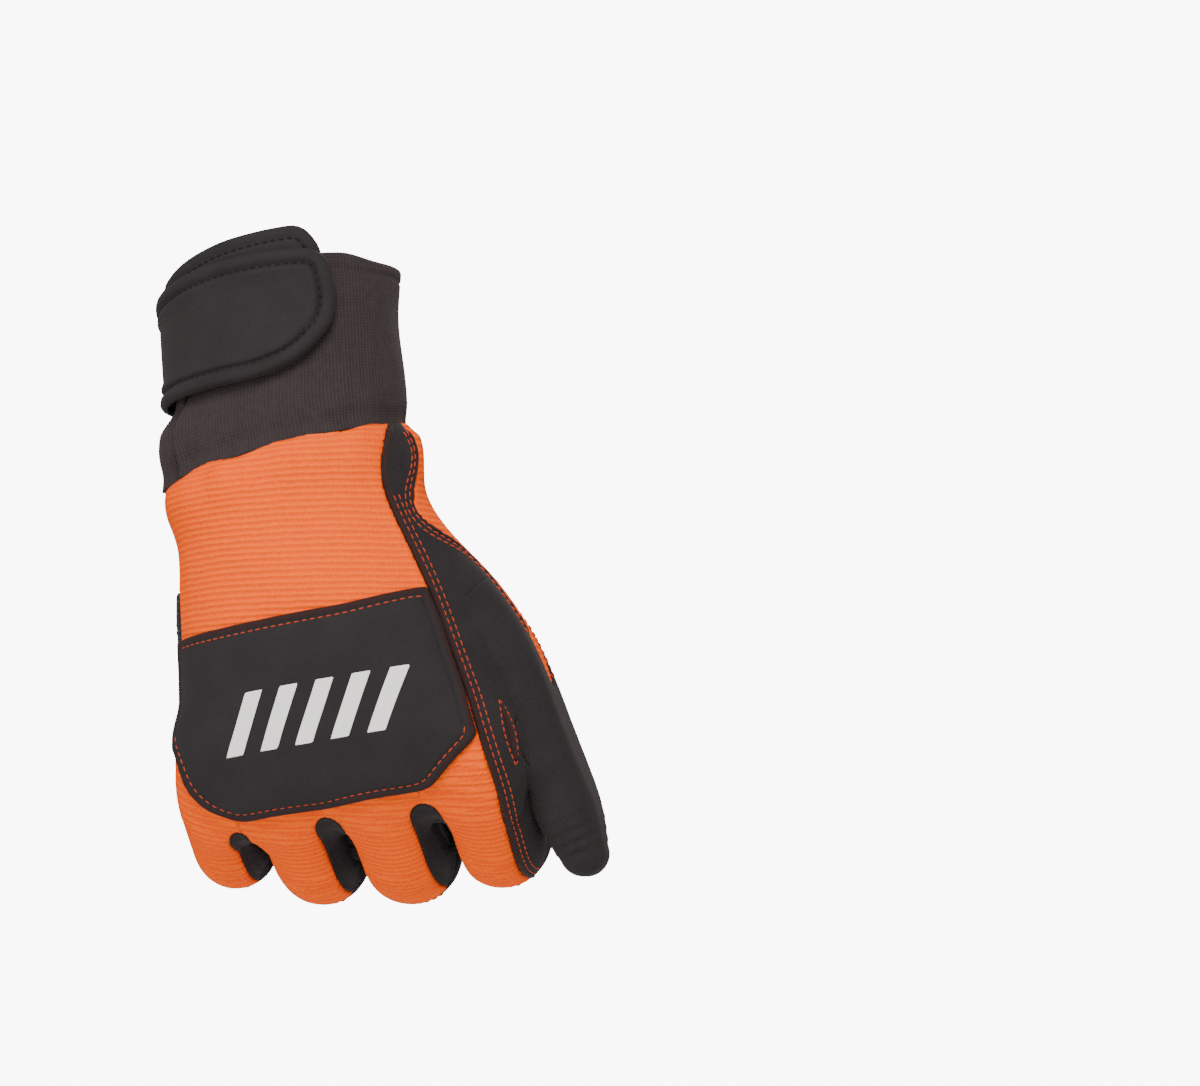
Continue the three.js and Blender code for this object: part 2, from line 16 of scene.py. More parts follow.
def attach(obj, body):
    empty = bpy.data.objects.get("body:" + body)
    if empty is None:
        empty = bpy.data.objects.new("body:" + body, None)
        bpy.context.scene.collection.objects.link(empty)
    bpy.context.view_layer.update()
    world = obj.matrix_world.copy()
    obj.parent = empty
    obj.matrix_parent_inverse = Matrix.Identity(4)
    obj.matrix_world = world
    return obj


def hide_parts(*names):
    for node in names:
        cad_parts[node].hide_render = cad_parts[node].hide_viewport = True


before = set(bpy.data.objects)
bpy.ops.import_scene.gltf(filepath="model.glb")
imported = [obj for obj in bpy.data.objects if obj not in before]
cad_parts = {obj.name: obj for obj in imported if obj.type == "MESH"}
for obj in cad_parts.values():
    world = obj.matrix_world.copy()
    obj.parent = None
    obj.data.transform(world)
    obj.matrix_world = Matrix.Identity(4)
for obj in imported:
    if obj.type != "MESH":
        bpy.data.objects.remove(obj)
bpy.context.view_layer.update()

MM = 0.001

# Driving sizes, as in the solids
PALM_WIDTH = 117
PALM_DEPTH = 60
HAND_LENGTH = 123
CUFF_WIDTH = 78
CUFF_DEPTH = 62
CUFF_LENGTH = 60
CUFF_WALL = 3
SKIN_WALL = 1.7
PATCH_THICKNESS = 1.8
STRAP_WIDTH = 38
FINGER_DIAMETER = 29
FINGER_LENGTH = 103
FINGER_CURL = 52
SEAM_TILT = 7
THUMB_LENGTH = 128
THUMB_DEPTH = 34
SLOT_WIDTH = 7.6

CELL = 1.25  # spacing of the skin's points
SEAM_SLOPE = math.tan(math.radians(SEAM_TILT))
CUFF_SEAM = -CUFF_LENGTH


def hand_at(share):
    """Height at a share of the hand's length below the cuff seam."""
    return CUFF_SEAM - np.asarray(share, float) * HAND_LENGTH


def unit(v):
    """Vectors divided by their lengths."""
    return v / np.maximum(np.linalg.norm(v, axis=-1, keepdims=True), 1e-9)


def ease(x):
    """0 below 0, 1 above 1 and 3x^2 - 2x^3 between."""
    x = np.clip(x, 0, 1)
    return x * x * (3 - 2 * x)


def blend(a, b, width):
    """Smooth minimum: the lower of two distances, rounded where they differ by less than the width."""
    h = np.clip(0.5 + 0.5 * (b - a) / width, 0, 1)
    return b + (a - b) * h - width * h * (1 - h)


def smooth_table(rows, window=0.12, samples=257):
    """Curves of a table's columns over its first: straight lines averaged twice over a window of its length."""
    rows = np.array(rows, float)
    t = np.linspace(rows[0, 0], rows[-1, 0], samples)
    half = max(int(window * samples / 2), 1)
    kernel = np.ones(2 * half + 1) / (2 * half + 1)
    columns = []
    for column in rows[:, 1:].T:
        line = np.interp(t, rows[:, 0], column)
        for _ in range(2):
            line = np.convolve(np.pad(line, half, mode="reflect", reflect_type="odd"), kernel, "valid")
        columns.append(line)
    return lambda x: [np.interp(x, t, line) for line in columns]


# The hand form

# at (share of hand length), shift and width (of palm width), palmward and depth (of palm depth), power, tilt
body_section = smooth_table([
    (-0.06, -0.006, 0.67, 0.0, 0.90, 2.1, 1),
    (0.0, -0.006, 0.684, 0.0, 0.93, 2.1, 1),
    (0.03, -0.006, 0.722, 0.0, 0.965, 2.1, 0.9),
    (0.08, -0.01, 0.74, 0.0, 0.975, 2.1, 0.7),
    (0.2, 0.002, 0.712, 0.01, 0.9, 2.15, 0.3),
    (0.37, 0.022, 0.784, 0.03, 0.867, 2.2, 0),
    (0.6, 0.053, 0.877, 0.045, 0.82, 2.3, 0),
    (0.79, 0.073, 0.945, 0.045, 0.7, 2.4, 0),
    (0.9, 0.075, 0.96, 0.06, 0.54, 2.4, 0),
    (0.99, 0.073, 0.91, 0.12, 0.28, 2.2, 0),
    (1.05, 0.073, 0.88, 0.15, 0.16, 2.2, 0),
], window=0.05)
BODY_ROUND = 8  # rounding of the palm's lower end
RAY_SHARE = 0.9  # a distance along a ray is longer than the nearest one


def seam_level(p):
    """Height above the tilted plane through the cuff seam, the tilt fading out down the hand."""
    level = p[:, 2] - CUFF_SEAM
    for _ in range(2):
        tilt = body_section(-level / HAND_LENGTH)[5]
        level = p[:, 2] - CUFF_SEAM - SEAM_SLOPE * tilt * p[:, 0]
    return level


def body_distance(p):
    """Distance from the palm: its superellipse at the point's level, taken along the ray from its middle."""
    level = seam_level(p)
    shift, width, palmward, depth, power, _ = body_section(-level / HAND_LENGTH)
    x = p[:, 0] - shift * PALM_WIDTH
    y = p[:, 1] - palmward * PALM_DEPTH
    wide = (np.abs(x) / (width * PALM_WIDTH / 2)) ** power
    deep = (np.abs(y) / (depth * PALM_DEPTH / 2)) ** power
    ratio = np.maximum((wide + deep) ** (1 / power), 1e-3)
    radial = RAY_SHARE * np.hypot(x, y) * (1 - 1 / ratio)
    end = -level - HAND_LENGTH
    return -blend(-radial, -end, BODY_ROUND)


# name: knuckle across (of palm width) and at (of hand length), girth, bones (of finger length), lean
FINGERS = {
    "index": (0.43, 0.868, 1.03, (0.44, 0.26, 0.19), 0.07),
    "middle": (0.156, 0.874, 1.05, (0.45, 0.275, 0.19), 0.06),
    "ring": (-0.11, 0.864, 0.965, (0.43, 0.265, 0.19), 0.04),
    "little": (-0.326, 0.827, 0.865, (0.385, 0.21, 0.175), 0.11),
}
BENDS = [(0, 0.86, 0.22), (1, 1.9, 0.3), (2, 0.8, 0.16)]  # bones before it, turn (of curl), spread (of length)
ROOT_LEAD = 0.11 * FINGER_LENGTH
ROOT_ANGLE = 0.14
ROOT_DEPTH = 0.02  # how far palmward the roots lie, of palm depth
CAP_SHARE = 0.98  # where a fingertip's cover starts, of the first bone
TIP_BALL = 0.78  # how far the last ball reaches past the path, of its radius
finger_girth = smooth_table([
    (0, 0.8), (0.16, 0.96), (0.3, 1.0), (0.54, 1.01), (0.7, 0.95), (0.87, 0.86), (1, 0.84)])
PATH_STEPS = 36


def finger_path(across, at, girth, bones, lean):
    """Path of a finger: equal steps whose direction turns steadily round each joint."""
    bones = np.array(bones) * FINGER_LENGTH
    radius = girth * FINGER_DIAMETER / 2
    total = ROOT_LEAD + bones.sum() - TIP_BALL * radius
    s = np.linspace(0, total, PATH_STEPS)
    middle = (s[1:] + s[:-1]) / 2

    def angle(x):
        """Bend at a distance along the finger: each joint adds its turn evenly over its spread."""
        turned = np.full_like(x, ROOT_ANGLE)
        for after, turn, spread in BENDS:
            joint = ROOT_LEAD + bones[:after].sum()
            turned += turn * np.clip((x - joint) / (spread * FINGER_LENGTH * girth) + 0.5, 0, 1)
        return np.radians(FINGER_CURL * turned)

    def heading(x):
        """Direction at a distance along the finger: down and palmward by its bend, sideways by its lean."""
        a = angle(x)
        return unit(np.stack([np.full_like(a, -lean), np.sin(a), -np.cos(a)], axis=-1))

    start = np.array([across * PALM_WIDTH, ROOT_DEPTH * PALM_DEPTH, hand_at(at) + ROOT_LEAD])
    points = start + np.concatenate([np.zeros((1, 3)), np.cumsum(heading(middle), axis=0) * (s[1] - s[0])])
    a = angle(s)
    return {
        "s": s, "points": points, "radius": radius * finger_girth(s / (total + TIP_BALL * radius))[0],
        "palmar": np.stack([0 * a, np.cos(a), np.sin(a)], axis=-1), "along": heading(s),
        "bone": bones[0], "cap": ROOT_LEAD + CAP_SHARE * bones[0], "step": s[1],
    }


paths = {name: finger_path(*row) for name, row in FINGERS.items()}
FINGER_NAMES = list(paths)

# at (of thumb length below the cuff seam), across (of palm width), palmward (of palm depth),
# width and depth (of thumb depth)
thumb_line = smooth_table([
    (0.17, 0.16, 0.08, 0.8, 1.06),
    (0.3, 0.3, 0.17, 0.84, 1.1),
    (0.42, 0.408, 0.25, 0.78, 1.1),
    (0.55, 0.495, 0.32, 0.68, 1.06),
    (0.7, 0.548, 0.385, 0.6, 1.0),
    (0.85, 0.59, 0.43, 0.585, 0.98),
    (0.97, 0.624, 0.455, 0.61, 0.9),
    (1.06, 0.648, 0.467, 0.47, 0.62),
], window=0.1)
THUMB_START = 0.42  # where its own cover starts, of its length
thumb_at = np.linspace(0.17, 1.06, 34)
across, palmward, width, depth = thumb_line(thumb_at)
thumb_points = np.stack(
    [across * PALM_WIDTH, palmward * PALM_DEPTH, CUFF_SEAM - thumb_at * THUMB_LENGTH], axis=-1)
thumb_radius = width * THUMB_DEPTH / 2
thumb_half = (depth - width) * THUMB_DEPTH / 2
thumb_along = unit(np.gradient(thumb_points, axis=0))
THUMB_STEP = np.linalg.norm(np.diff(thumb_points, axis=0), axis=1).mean()
thumb_deep = unit(np.array([0.0, 1.0, 0.0]) - thumb_along * thumb_along[:, 1:2])


def nearest(distance):
    """Smallest value in each row, and its column."""
    k = np.argmin(distance, axis=1)
    return distance[np.arange(len(distance)), k], k


def finger_distances(p):
    """Distance from each finger: to the nearest ball along its path, with the ball's number."""
    found = []
    for path in paths.values():
        c = path["points"]
        square = (p ** 2).sum(1)[:, None] - 2 * p @ c.T + (c ** 2).sum(1)[None, :]
        _, k = nearest(np.sqrt(np.maximum(square, 0)) - path["radius"])
        past = np.clip(((p - c[k]) * path["along"][k]).sum(1) / path["step"], -0.5, 0.5)
        middle = c[k] + past[:, None] * path["step"] * path["along"][k]
        radius = path["radius"][k] + past * np.gradient(path["radius"])[k]
        found.append((np.linalg.norm(p - middle, axis=1) - radius, k))
    return found


def thumb_distance(p):
    """Distance from the thumb: at each station to a line across its depth, less its radius."""
    square = (p ** 2).sum(1)[:, None] - 2 * p @ thumb_points.T + (thumb_points ** 2).sum(1)
    reach = p @ thumb_deep.T - (thumb_points * thumb_deep).sum(1)
    deep = np.clip(reach, -thumb_half, thumb_half)
    _, k = nearest(np.sqrt(np.maximum(square - 2 * deep * reach + deep ** 2, 0)) - thumb_radius)
    past = np.clip(((p - thumb_points[k]) * thumb_along[k]).sum(1) / THUMB_STEP, -0.5, 0.5)
    q = p - thumb_points[k] - past[:, None] * THUMB_STEP * thumb_along[k]
    half = thumb_half[k] + past * np.gradient(thumb_half)[k]
    deep = np.clip((q * thumb_deep[k]).sum(1), -half, half)
    radius = thumb_radius[k] + past * np.gradient(thumb_radius)[k]
    return np.linalg.norm(q - deep[:, None] * thumb_deep[k], axis=1) - radius, k


KNUCKLE_BLEND = 7
THUMB_BLEND = 9
FINGER_FROM = -125  # no finger reaches above this height
THUMB_FROM = -62
THUMB_FROM_X = -8
ROOT_SHARE = 0.75  # how much of the first bone is blended into the palm
FAR = 60.0  # taken as the distance of points that aren't near fingers or thumb


def hand_parts(p):
    """Distances from the body, the nearest finger and the thumb, and where on them the point is nearest."""
    body = body_distance(p)
    n = len(p)
    finger = np.full(n, FAR)
    root = np.full(n, FAR)
    which = np.zeros(n, int)
    station = np.zeros(n, int)
    low = np.nonzero(p[:, 2] < FINGER_FROM)[0]
    if len(low):
        found = zip(finger_distances(p[low]), paths.values())
        for number, ((distance, k), path) in enumerate(found):
            closer = distance < finger[low]
            here = low[closer]
            finger[here] = distance[closer]
            which[here] = number
            station[here] = k[closer]
            at_root = path["s"][k] < ROOT_LEAD + ROOT_SHARE * path["bone"]
            root[low] = np.minimum(root[low], np.where(at_root, distance, FAR))
    thumb = np.full(n, FAR)
    thumb_station = np.zeros(n, int)
    beside = np.nonzero((p[:, 2] < THUMB_FROM) & (p[:, 0] > THUMB_FROM_X))[0]
    if len(beside):
        thumb[beside], thumb_station[beside] = thumb_distance(p[beside])
    return body, finger, root, which, station, thumb, thumb_station


def hand_distance(p):
    """Distance from the whole hand: body and finger roots blended, body and thumb blended, fingers added."""
    body, finger, root, _, _, thumb, _ = hand_parts(p)
    hand = np.minimum(blend(body, root, KNUCKLE_BLEND), finger)
    return np.minimum(hand, blend(body, thumb, THUMB_BLEND))


def in_chunks(function, p, size=60000):
    """A function of many points, worked out for some of them at a time."""
    return np.concatenate([function(p[i:i + size]) for i in range(0, len(p), size)])


CORNERS = np.array([(1, -1, -1), (-1, -1, 1), (-1, 1, -1), (1, 1, 1)], float)


def gradient(function, p, step=0.25):
    """Slope of a function from its values at four corners round each point."""
    return sum(k * in_chunks(function, p + step * k)[:, None] for k in CORNERS) / (4 * step)


def project(p, steps=3):
    """Points moved onto the hand's skin by Newton's steps along the slope."""
    for _ in range(steps):
        slope = gradient(hand_distance, p)
        square = np.maximum((slope ** 2).sum(1), 0.2)
        move = in_chunks(hand_distance, p) / square
        p = p - slope * np.clip(move, -3, 3)[:, None]
    return p


COARSE = 4  # the form is looked at this many times coarser first, and finely only near its skin
NEAR_SKIN = 1.3  # within this many coarse cells


def skin_net(low, high, cell):
    """Skin of the hand form: in each cell that it crosses, the mean of its crossings with the cell's edges.

    The cells round a crossed edge make one four-sided face.
    """
    coarse = np.ceil((np.array(high) - low) / (cell * COARSE)).astype(int) + 1
    counts = (coarse - 1) * COARSE + 1
    axes = [low[k] + cell * np.arange(counts[k]) for k in range(3)]
    grid = np.stack(np.meshgrid(*axes, indexing="ij"), axis=-1)
    rough = in_chunks(hand_distance, grid[::COARSE, ::COARSE, ::COARSE].reshape(-1, 3)).reshape(coarse)
    value = rough
    for axis in range(3):
        value = np.repeat(value, COARSE, axis=axis)
    start = COARSE // 2
    value = np.ascontiguousarray(value[tuple(slice(start, start + count) for count in counts)])
    near = np.abs(value) < NEAR_SKIN * cell * COARSE
    value[near] = in_chunks(hand_distance, grid[near])
    cells = counts - 1
    total = np.zeros((cells.prod(), 3))
    count = np.zeros(cells.prod())
    quads = []
    for axis in range(3):
        first = np.take(value, range(counts[axis] - 1), axis=axis)
        second = np.take(value, range(1, counts[axis]), axis=axis)
        crossed = np.argwhere((first < 0) != (second < 0))
        others = [k for k in range(3) if k != axis]
        inner = np.all((crossed[:, others] > 0) & (crossed[:, others] < cells[others]), axis=1)
        crossed = crossed[inner]
        a = first[tuple(crossed.T)]
        b = second[tuple(crossed.T)]
        place = crossed.astype(float)
        place[:, axis] += a / (a - b)
        ring = []
        for back_u, back_v in ((0, 0), (1, 0), (1, 1), (0, 1)):
            here = crossed.copy()
            here[:, others[0]] -= back_u
            here[:, others[1]] -= back_v
            flat = np.ravel_multi_index(here.T, cells)
            ring.append(flat)
            for k in range(3):
                total[:, k] += np.bincount(flat, place[:, k], len(count))
            count += np.bincount(flat, minlength=len(count))
        ring = np.stack(ring, axis=1)
        turn = (a >= 0) if axis != 1 else (a < 0)
        quads.append(np.where(turn[:, None], ring[:, ::-1], ring))
    used = np.nonzero(count)[0]
    number = np.full(len(count), -1)
    number[used] = np.arange(len(used))
    points = low + cell * total[used] / count[used, None]
    return points, number[np.concatenate(quads)]


def triangles_of(quads):
    """Each four-sided face as two triangles."""
    return np.concatenate([quads[:, [0, 1, 2]], quads[:, [0, 2, 3]]])


def relaxed(points, triangles, rounds):
    """Points moved towards the mean of their neighbours and back onto the skin."""
    a = triangles.T.ravel()
    b = np.roll(triangles.T, 1, axis=0).ravel()
    for _ in range(rounds):
        total = np.stack([np.bincount(a, points[b, k], len(points)) for k in range(3)], axis=1)
        points = project(0.4 * points + 0.6 * total / np.bincount(a, minlength=len(points))[:, None], 1)
    return points


def edges_of(triangles):
    """Each edge of some triangles once, its number for each side of each triangle, and its count."""
    pairs = np.sort(np.concatenate([triangles[:, ends] for ends in ([0, 1], [1, 2], [2, 0])]), axis=1)
    size = int(triangles.max()) + 1
    codes, number, count = np.unique(pairs[:, 0].astype(np.int64) * size + pairs[:, 1],
                                     return_inverse=True, return_counts=True)
    return np.stack([codes // size, codes % size], axis=1), number.reshape(3, -1), count


def cut(points, triangles, value):
    """Triangles split along the line where a value at their corners is zero, and the side each piece is on.

    A corner that is nearly on the line is moved onto it, so that no sliver is made.
    """
    points = points.copy()
    value = value.copy()
    edges, _, _ = edges_of(triangles)
    for _ in range(2):
        a, b = edges[value[edges[:, 0]] * value[edges[:, 1]] < 0].T
        share = value[a] / (value[a] - value[b])
        for end, other, near in ((a, b, share < 0.2), (b, a, share > 0.8)):
            move = share[near] if end is a else 1 - share[near]
            points[end[near]] += (points[other[near]] - points[end[near]]) * move[:, None]
            value[end[near]] = 0
    crossed = edges[value[edges[:, 0]] * value[edges[:, 1]] < 0]
    share = value[crossed[:, 0]] / (value[crossed[:, 0]] - value[crossed[:, 1]])
    made = points[crossed[:, 0]] + (points[crossed[:, 1]] - points[crossed[:, 0]]) * share[:, None]
    keys = crossed[:, 0].astype(np.int64) * len(points) + crossed[:, 1]

    def middle(i, j):
        """Number of the point made on the edge between two corners."""
        pair = np.sort(np.stack([i, j], axis=1), axis=1)
        return len(points) + np.searchsorted(keys, pair[:, 0].astype(np.int64) * len(points) + pair[:, 1])

    v = value[triangles]
    opposite = np.roll(v, -1, axis=1) * np.roll(v, -2, axis=1) < 0
    splits = opposite.sum(1)
    parts = [triangles[splits == 0]]
    sides = [np.sign(v[splits == 0].sum(1))]

    def turned(chosen, first):
        """Some of the triangles, each starting with the given one of its corners."""
        return np.take_along_axis(triangles[chosen], (first[:, None] + np.arange(3)) % 3, axis=1)

    one = splits == 1  # one corner is on the line and faces the crossed edge
    t = turned(one, np.argmax(opposite[one], axis=1))
    m = middle(t[:, 1], t[:, 2])
    parts += [np.stack([t[:, 0], t[:, 1], m], axis=1), np.stack([t[:, 0], m, t[:, 2]], axis=1)]
    sides += [np.sign(value[t[:, 1]]), np.sign(value[t[:, 2]])]
    two = splits == 2  # one corner is alone on its side, opposite the edge that isn't crossed
    t = turned(two, np.argmin(opposite[two], axis=1))
    m, n = middle(t[:, 0], t[:, 1]), middle(t[:, 2], t[:, 0])
    parts += [np.stack(c, axis=1) for c in ((t[:, 0], m, n), (m, t[:, 1], t[:, 2]), (m, t[:, 2], n))]
    sides += [np.sign(value[t[:, 0]]), np.sign(value[t[:, 1]]), np.sign(value[t[:, 1]])]
    source = np.concatenate([np.nonzero(splits == k)[0] for k in (0, 1, 1, 2, 2, 2)])
    return np.concatenate([points, made]), np.concatenate(parts), np.concatenate(sides), source


# Zones of the panels: each is a function of a point, above zero inside
OUTSIDE = -20.0


def outline_depth(u, v, corners):
    """Distance inside a closed outline with straight sides, negative outside."""
    c = np.array(corners, float)
    d = np.roll(c, -1, axis=0) - c
    wu = u[:, None] - c[:, 0]
    wv = v[:, None] - c[:, 1]
    share = np.clip((wu * d[:, 0] + wv * d[:, 1]) / np.maximum((d ** 2).sum(1), 1e-9), 0, 1)
    gap = np.sqrt(((wu - share * d[:, 0]) ** 2 + (wv - share * d[:, 1]) ** 2).min(1))
    above = wv >= 0
    crosses = above != np.roll(above, -1, axis=1)
    side = (d[:, 0] * wv - d[:, 1] * wu) * np.where(d[:, 1] > 0, 1, -1) < 0
    inside = ((crosses & side).sum(1) % 2) == 1
    return np.where(inside, gap, -gap)


def rounded(corners, radius, steps=6):
    """Closed outline with its corners rounded: each corner's sides joined by a bent line of short steps."""
    c = np.array(corners, float)
    before = unit(np.roll(c, 1, axis=0) - c)
    after = unit(np.roll(c, -1, axis=0) - c)
    legs = np.linalg.norm(np.roll(c, -1, axis=0) - c, axis=1)
    reach = np.minimum(radius, 0.45 * np.minimum(legs, np.roll(legs, 1)))[:, None]
    t = np.linspace(0, 1, steps)[None, :, None]
    enter, leave = c + before * reach, c + after * reach
    line = (1 - t) ** 2 * enter[:, None] + 2 * t * (1 - t) * c[:, None] + t ** 2 * leave[:, None]
    return line.reshape(-1, 2)


def in_hand(table):
    """Rows of across (of palm width) and at (of hand length) as places in X and Z."""
    table = np.array(table, float)
    return np.stack([table[:, 0] * PALM_WIDTH, hand_at(table[:, 1])], axis=1)


# across (of palm width) over at (of hand length)
back_seam = smooth_table([
    (-0.1, 0.325), (0.02, 0.308), (0.07, 0.296), (0.12, 0.293), (0.17, 0.299), (0.22, 0.316), (0.3, 0.345),
    (0.41, 0.383), (0.73, 0.467), (0.85, 0.487), (0.95, 0.497), (1.1, 0.475), (1.3, 0.44)], window=0.05)
ulnar_seam = smooth_table([(-0.1, -0.1), (0.5, -0.1), (0.72, -0.06), (1.3, -0.06)])
radial_seam = smooth_table([(-0.1, 0.32), (0.3, 0.28), (0.55, 0.2), (0.74, 0.06), (1.3, 0.06)])

# palmward (of palm depth) and at (of hand length) of the orange leaf on the thumb side of the wrist
GUSSET = [(-0.14, -0.12), (-0.02, 0.03), (-0.035, 0.08), (-0.10, 0.14), (-0.13, 0.19), (-0.09, 0.235),
          (0.01, 0.265), (0.14, 0.3), (0.235, 0.36), (0.29, 0.45), (0.33, 0.54), (0.41, 0.69),
          (0.46, 0.6), (0.4, 0.3), (0.32, 0.14), (0.28, -0.12)]
gusset_limit = smooth_table([(-0.1, 0.2), (0.2, 0.24), (0.3, 0.36), (0.55, 0.5), (0.74, 0.56), (1.0, 0.6)])

# Slots between finger backs: the fingers on both sides, the top (of hand length), the width (of slot width),
# and how far it lies towards the little finger (of half its width)
SLOTS = {
    "index": ("middle", "index", 0.965, 1.34, 0.2),
    "middle": ("ring", "middle", 0.968, 1.16, 0.25),
    "ring": ("little", "ring", 0.974, 1.06, 0.5),
}


def share_down(p):
    """Share of the hand's length below the cuff seam."""
    return (CUFF_SEAM - p[:, 2]) / HAND_LENGTH


def cuff_zone(p):
    """Above the cuff seam, which waves a little where the knit is gathered into it."""
    wave = 0.6 * np.sin(p[:, 0] / 5.5) + 0.4 * np.sin(p[:, 0] / 2.9 + p[:, 1] / 6)
    return seam_level(p) - wave


def past_station(p, which, station, direction="along"):
    """How far points lie from their stations on the nearest finger, in a direction of its path."""
    return np.choose(which, [((p - path["points"][station]) * path[direction][station]).sum(1)
                             for path in paths.values()])


def fingertip_zone(p):
    """Past the cover's start on the nearest finger's path."""
    _, finger, _, which, station, thumb, _ = hand_parts(p)
    s = np.choose(which, [path["s"][station] - path["cap"] for path in paths.values()])
    depth = s + np.clip(past_station(p, which, station), -2, 2)
    return np.where((thumb < finger) | (finger > 6) | (p[:, 2] > FINGER_FROM), OUTSIDE, depth)


def thumb_zone(p):
    """Past the start of the thumb's own cover, where the thumb is nearer than the rest of the hand."""
    body, finger, _, _, _, thumb, station = hand_parts(p)
    past = (thumb_at[station] - THUMB_START) * THUMB_LENGTH
    past += np.clip(((p - thumb_points[station]) * thumb_along[station]).sum(1), -3, 3)
    return np.minimum(past, np.minimum(body, finger) - thumb)


def gusset_zone(p):
    """Inside the leaf's outline seen from the side, and outwards of its limit seen from the back."""
    corners = np.array(GUSSET)
    leaf = outline_depth(p[:, 1], p[:, 2], rounded(
        np.stack([corners[:, 0] * PALM_DEPTH, hand_at(corners[:, 1])], axis=1), 5))
    return np.minimum(leaf, p[:, 0] - gusset_limit(share_down(p))[0] * PALM_WIDTH)


def slot_zone(name):
    """Inside a strip with a round top down the crease between two fingers, where both are equally near."""
    left, right, top, wide, shift = SLOTS[name]
    half = wide * SLOT_WIDTH / 2
    z_top = hand_at(top) - half

    def zone(p):
        """Half the strip's width less the distance from its middle line and the middle of its round top."""
        found = dict(zip(paths, finger_distances(p)))
        slope = 0.0  # how fast the difference of the two distances grows across the hand
        for finger, sign in ((left, 1), (right, -1)):
            (distance, k), path = found[finger], paths[finger]
            slope = slope + sign * (p[:, 0] - path["points"][k, 0]) / (distance + path["radius"][k])
        from_left, from_right = found[left][0], found[right][0]
        across = (from_left - from_right) / np.clip(slope, 0.6, 2.0) + shift * half
        inside = half - np.hypot(across, np.maximum(p[:, 2] - z_top, 0))
        return np.where((np.minimum(from_left, from_right) > 8) | (p[:, 2] > FINGER_FROM), OUTSIDE, inside)
    return zone


def palm_side(p):
    """Distance to the palm's side of the side seams: set on the hand, and each finger's own side along it."""
    _, finger, _, which, station, _, _ = hand_parts(p)
    down = share_down(p)
    thumbward = ease((p[:, 0] + 10) / 30)
    seam = ulnar_seam(down)[0] * (1 - thumbward) + radial_seam(down)[0] * thumbward
    on_hand = p[:, 1] - seam * PALM_DEPTH
    on_finger = past_station(p, which, station, "palmar")
    low = ease((-150 - p[:, 2]) / 16) * ease((14 - finger) / 10)
    return on_hand * (1 - low) + on_finger * low


def back_zone(p):
    """To the little finger's side of the back seam."""
    return back_seam(share_down(p))[0] * PALM_WIDTH - p[:, 0]


def fabric_map(p):
    """Place on the cloth in millimetres: across the hand, and down it and on along the nearest finger."""
    _, _, _, which, station, _, _ = hand_parts(p)
    along = np.choose(which, [path["s"][station] - path["points"][0, 2] for path in paths.values()])
    along = along + np.clip(past_station(p, which, station), -2, 2)
    down = -seam_level(p) * 0.55 - 0.45 * (p[:, 2] - CUFF_SEAM) - 0.1 * p[:, 0]
    low = ease((-148 - p[:, 2]) / 16)
    return np.stack([p[:, 0], down * (1 - low) + (along + CUFF_SEAM - 0.1 * p[:, 0]) * low], axis=1)


# Skin of the hand and its panels
skin_points, skin_quads = skin_net(np.array([-62.0, -42.0, -219.0]), np.array([92.0, 80.0, -48.0]), CELL)
skin_triangles = triangles_of(skin_quads)
skin_points = relaxed(project(skin_points, 2), skin_triangles, 2)
label = np.zeros(len(skin_triangles), int)
NAMES = ["side_panel", "above", "fingertips", "thumb_gusset", "thumb", "index_fourchette", "middle_fourchette",
         "ring_fourchette", "palm", "back_panel"]  # what is in no zone is the side panel
ZONES = [cuff_zone, fingertip_zone, gusset_zone, thumb_zone, slot_zone("index"), slot_zone("middle"),
         slot_zone("ring"), palm_side, back_zone]
for number, zone in enumerate(ZONES, 1):
    skin_points, skin_triangles, side, source = cut(skin_points, skin_triangles, in_chunks(zone, skin_points))
    label = label[source]
    label[(label == 0) & (side > 0)] = number
tips = np.nonzero(label == NAMES.index("fingertips"))[0]
tip_finger = hand_parts(skin_points[skin_triangles[tips]].mean(1))[3]
for number, name in enumerate(FINGER_NAMES):
    NAMES.append(f"{name}_fingertip")
    label[tips[tip_finger == number]] = len(NAMES) - 1
skin_points = project(skin_points, 1)
skin_normals = unit(gradient(hand_distance, skin_points))


def nearest_distance(p, targets, chunk=4000):
    """Distance from each point to the nearest of some targets, and that target's number."""
    distances, numbers = [], []
    for i in range(0, len(p), chunk):
        q = p[i:i + chunk]
        square = (q ** 2).sum(1)[:, None] - 2 * q @ targets.T + (targets ** 2).sum(1)[None, :]
        least, k = nearest(square)
        distances.append(np.sqrt(np.maximum(least, 0)))
        numbers.append(k)
    return np.concatenate(distances), np.concatenate(numbers)


def rim_of(triangles):
    """Points on the open edge of some triangles."""
    edges, _, count = edges_of(triangles)
    return np.unique(edges[count == 1])


def pinched(triangles):
    """Points where the open edge of some triangles touches itself."""
    edges, _, count = edges_of(triangles)
    points, times = np.unique(edges[count == 1], return_counts=True)
    return points[times > 2]


def islands(triangles):
    """For each triangle, how many triangles its connected piece has, joined across shared edges."""
    edges, number, _ = edges_of(triangles)
    number = number.reshape(-1, len(triangles)).T
    group = np.arange(len(triangles))
    while True:
        least = np.full(len(edges), len(triangles))
        np.minimum.at(least, number.ravel(), np.repeat(group, 3))
        joined_group = least[number].min(1)
        joined_group = joined_group[joined_group]
        if (joined_group == group).all():
            return np.bincount(group, minlength=len(group))[group]
        group = joined_group


SMALL = 60  # pieces with fewer triangles are no part of a panel
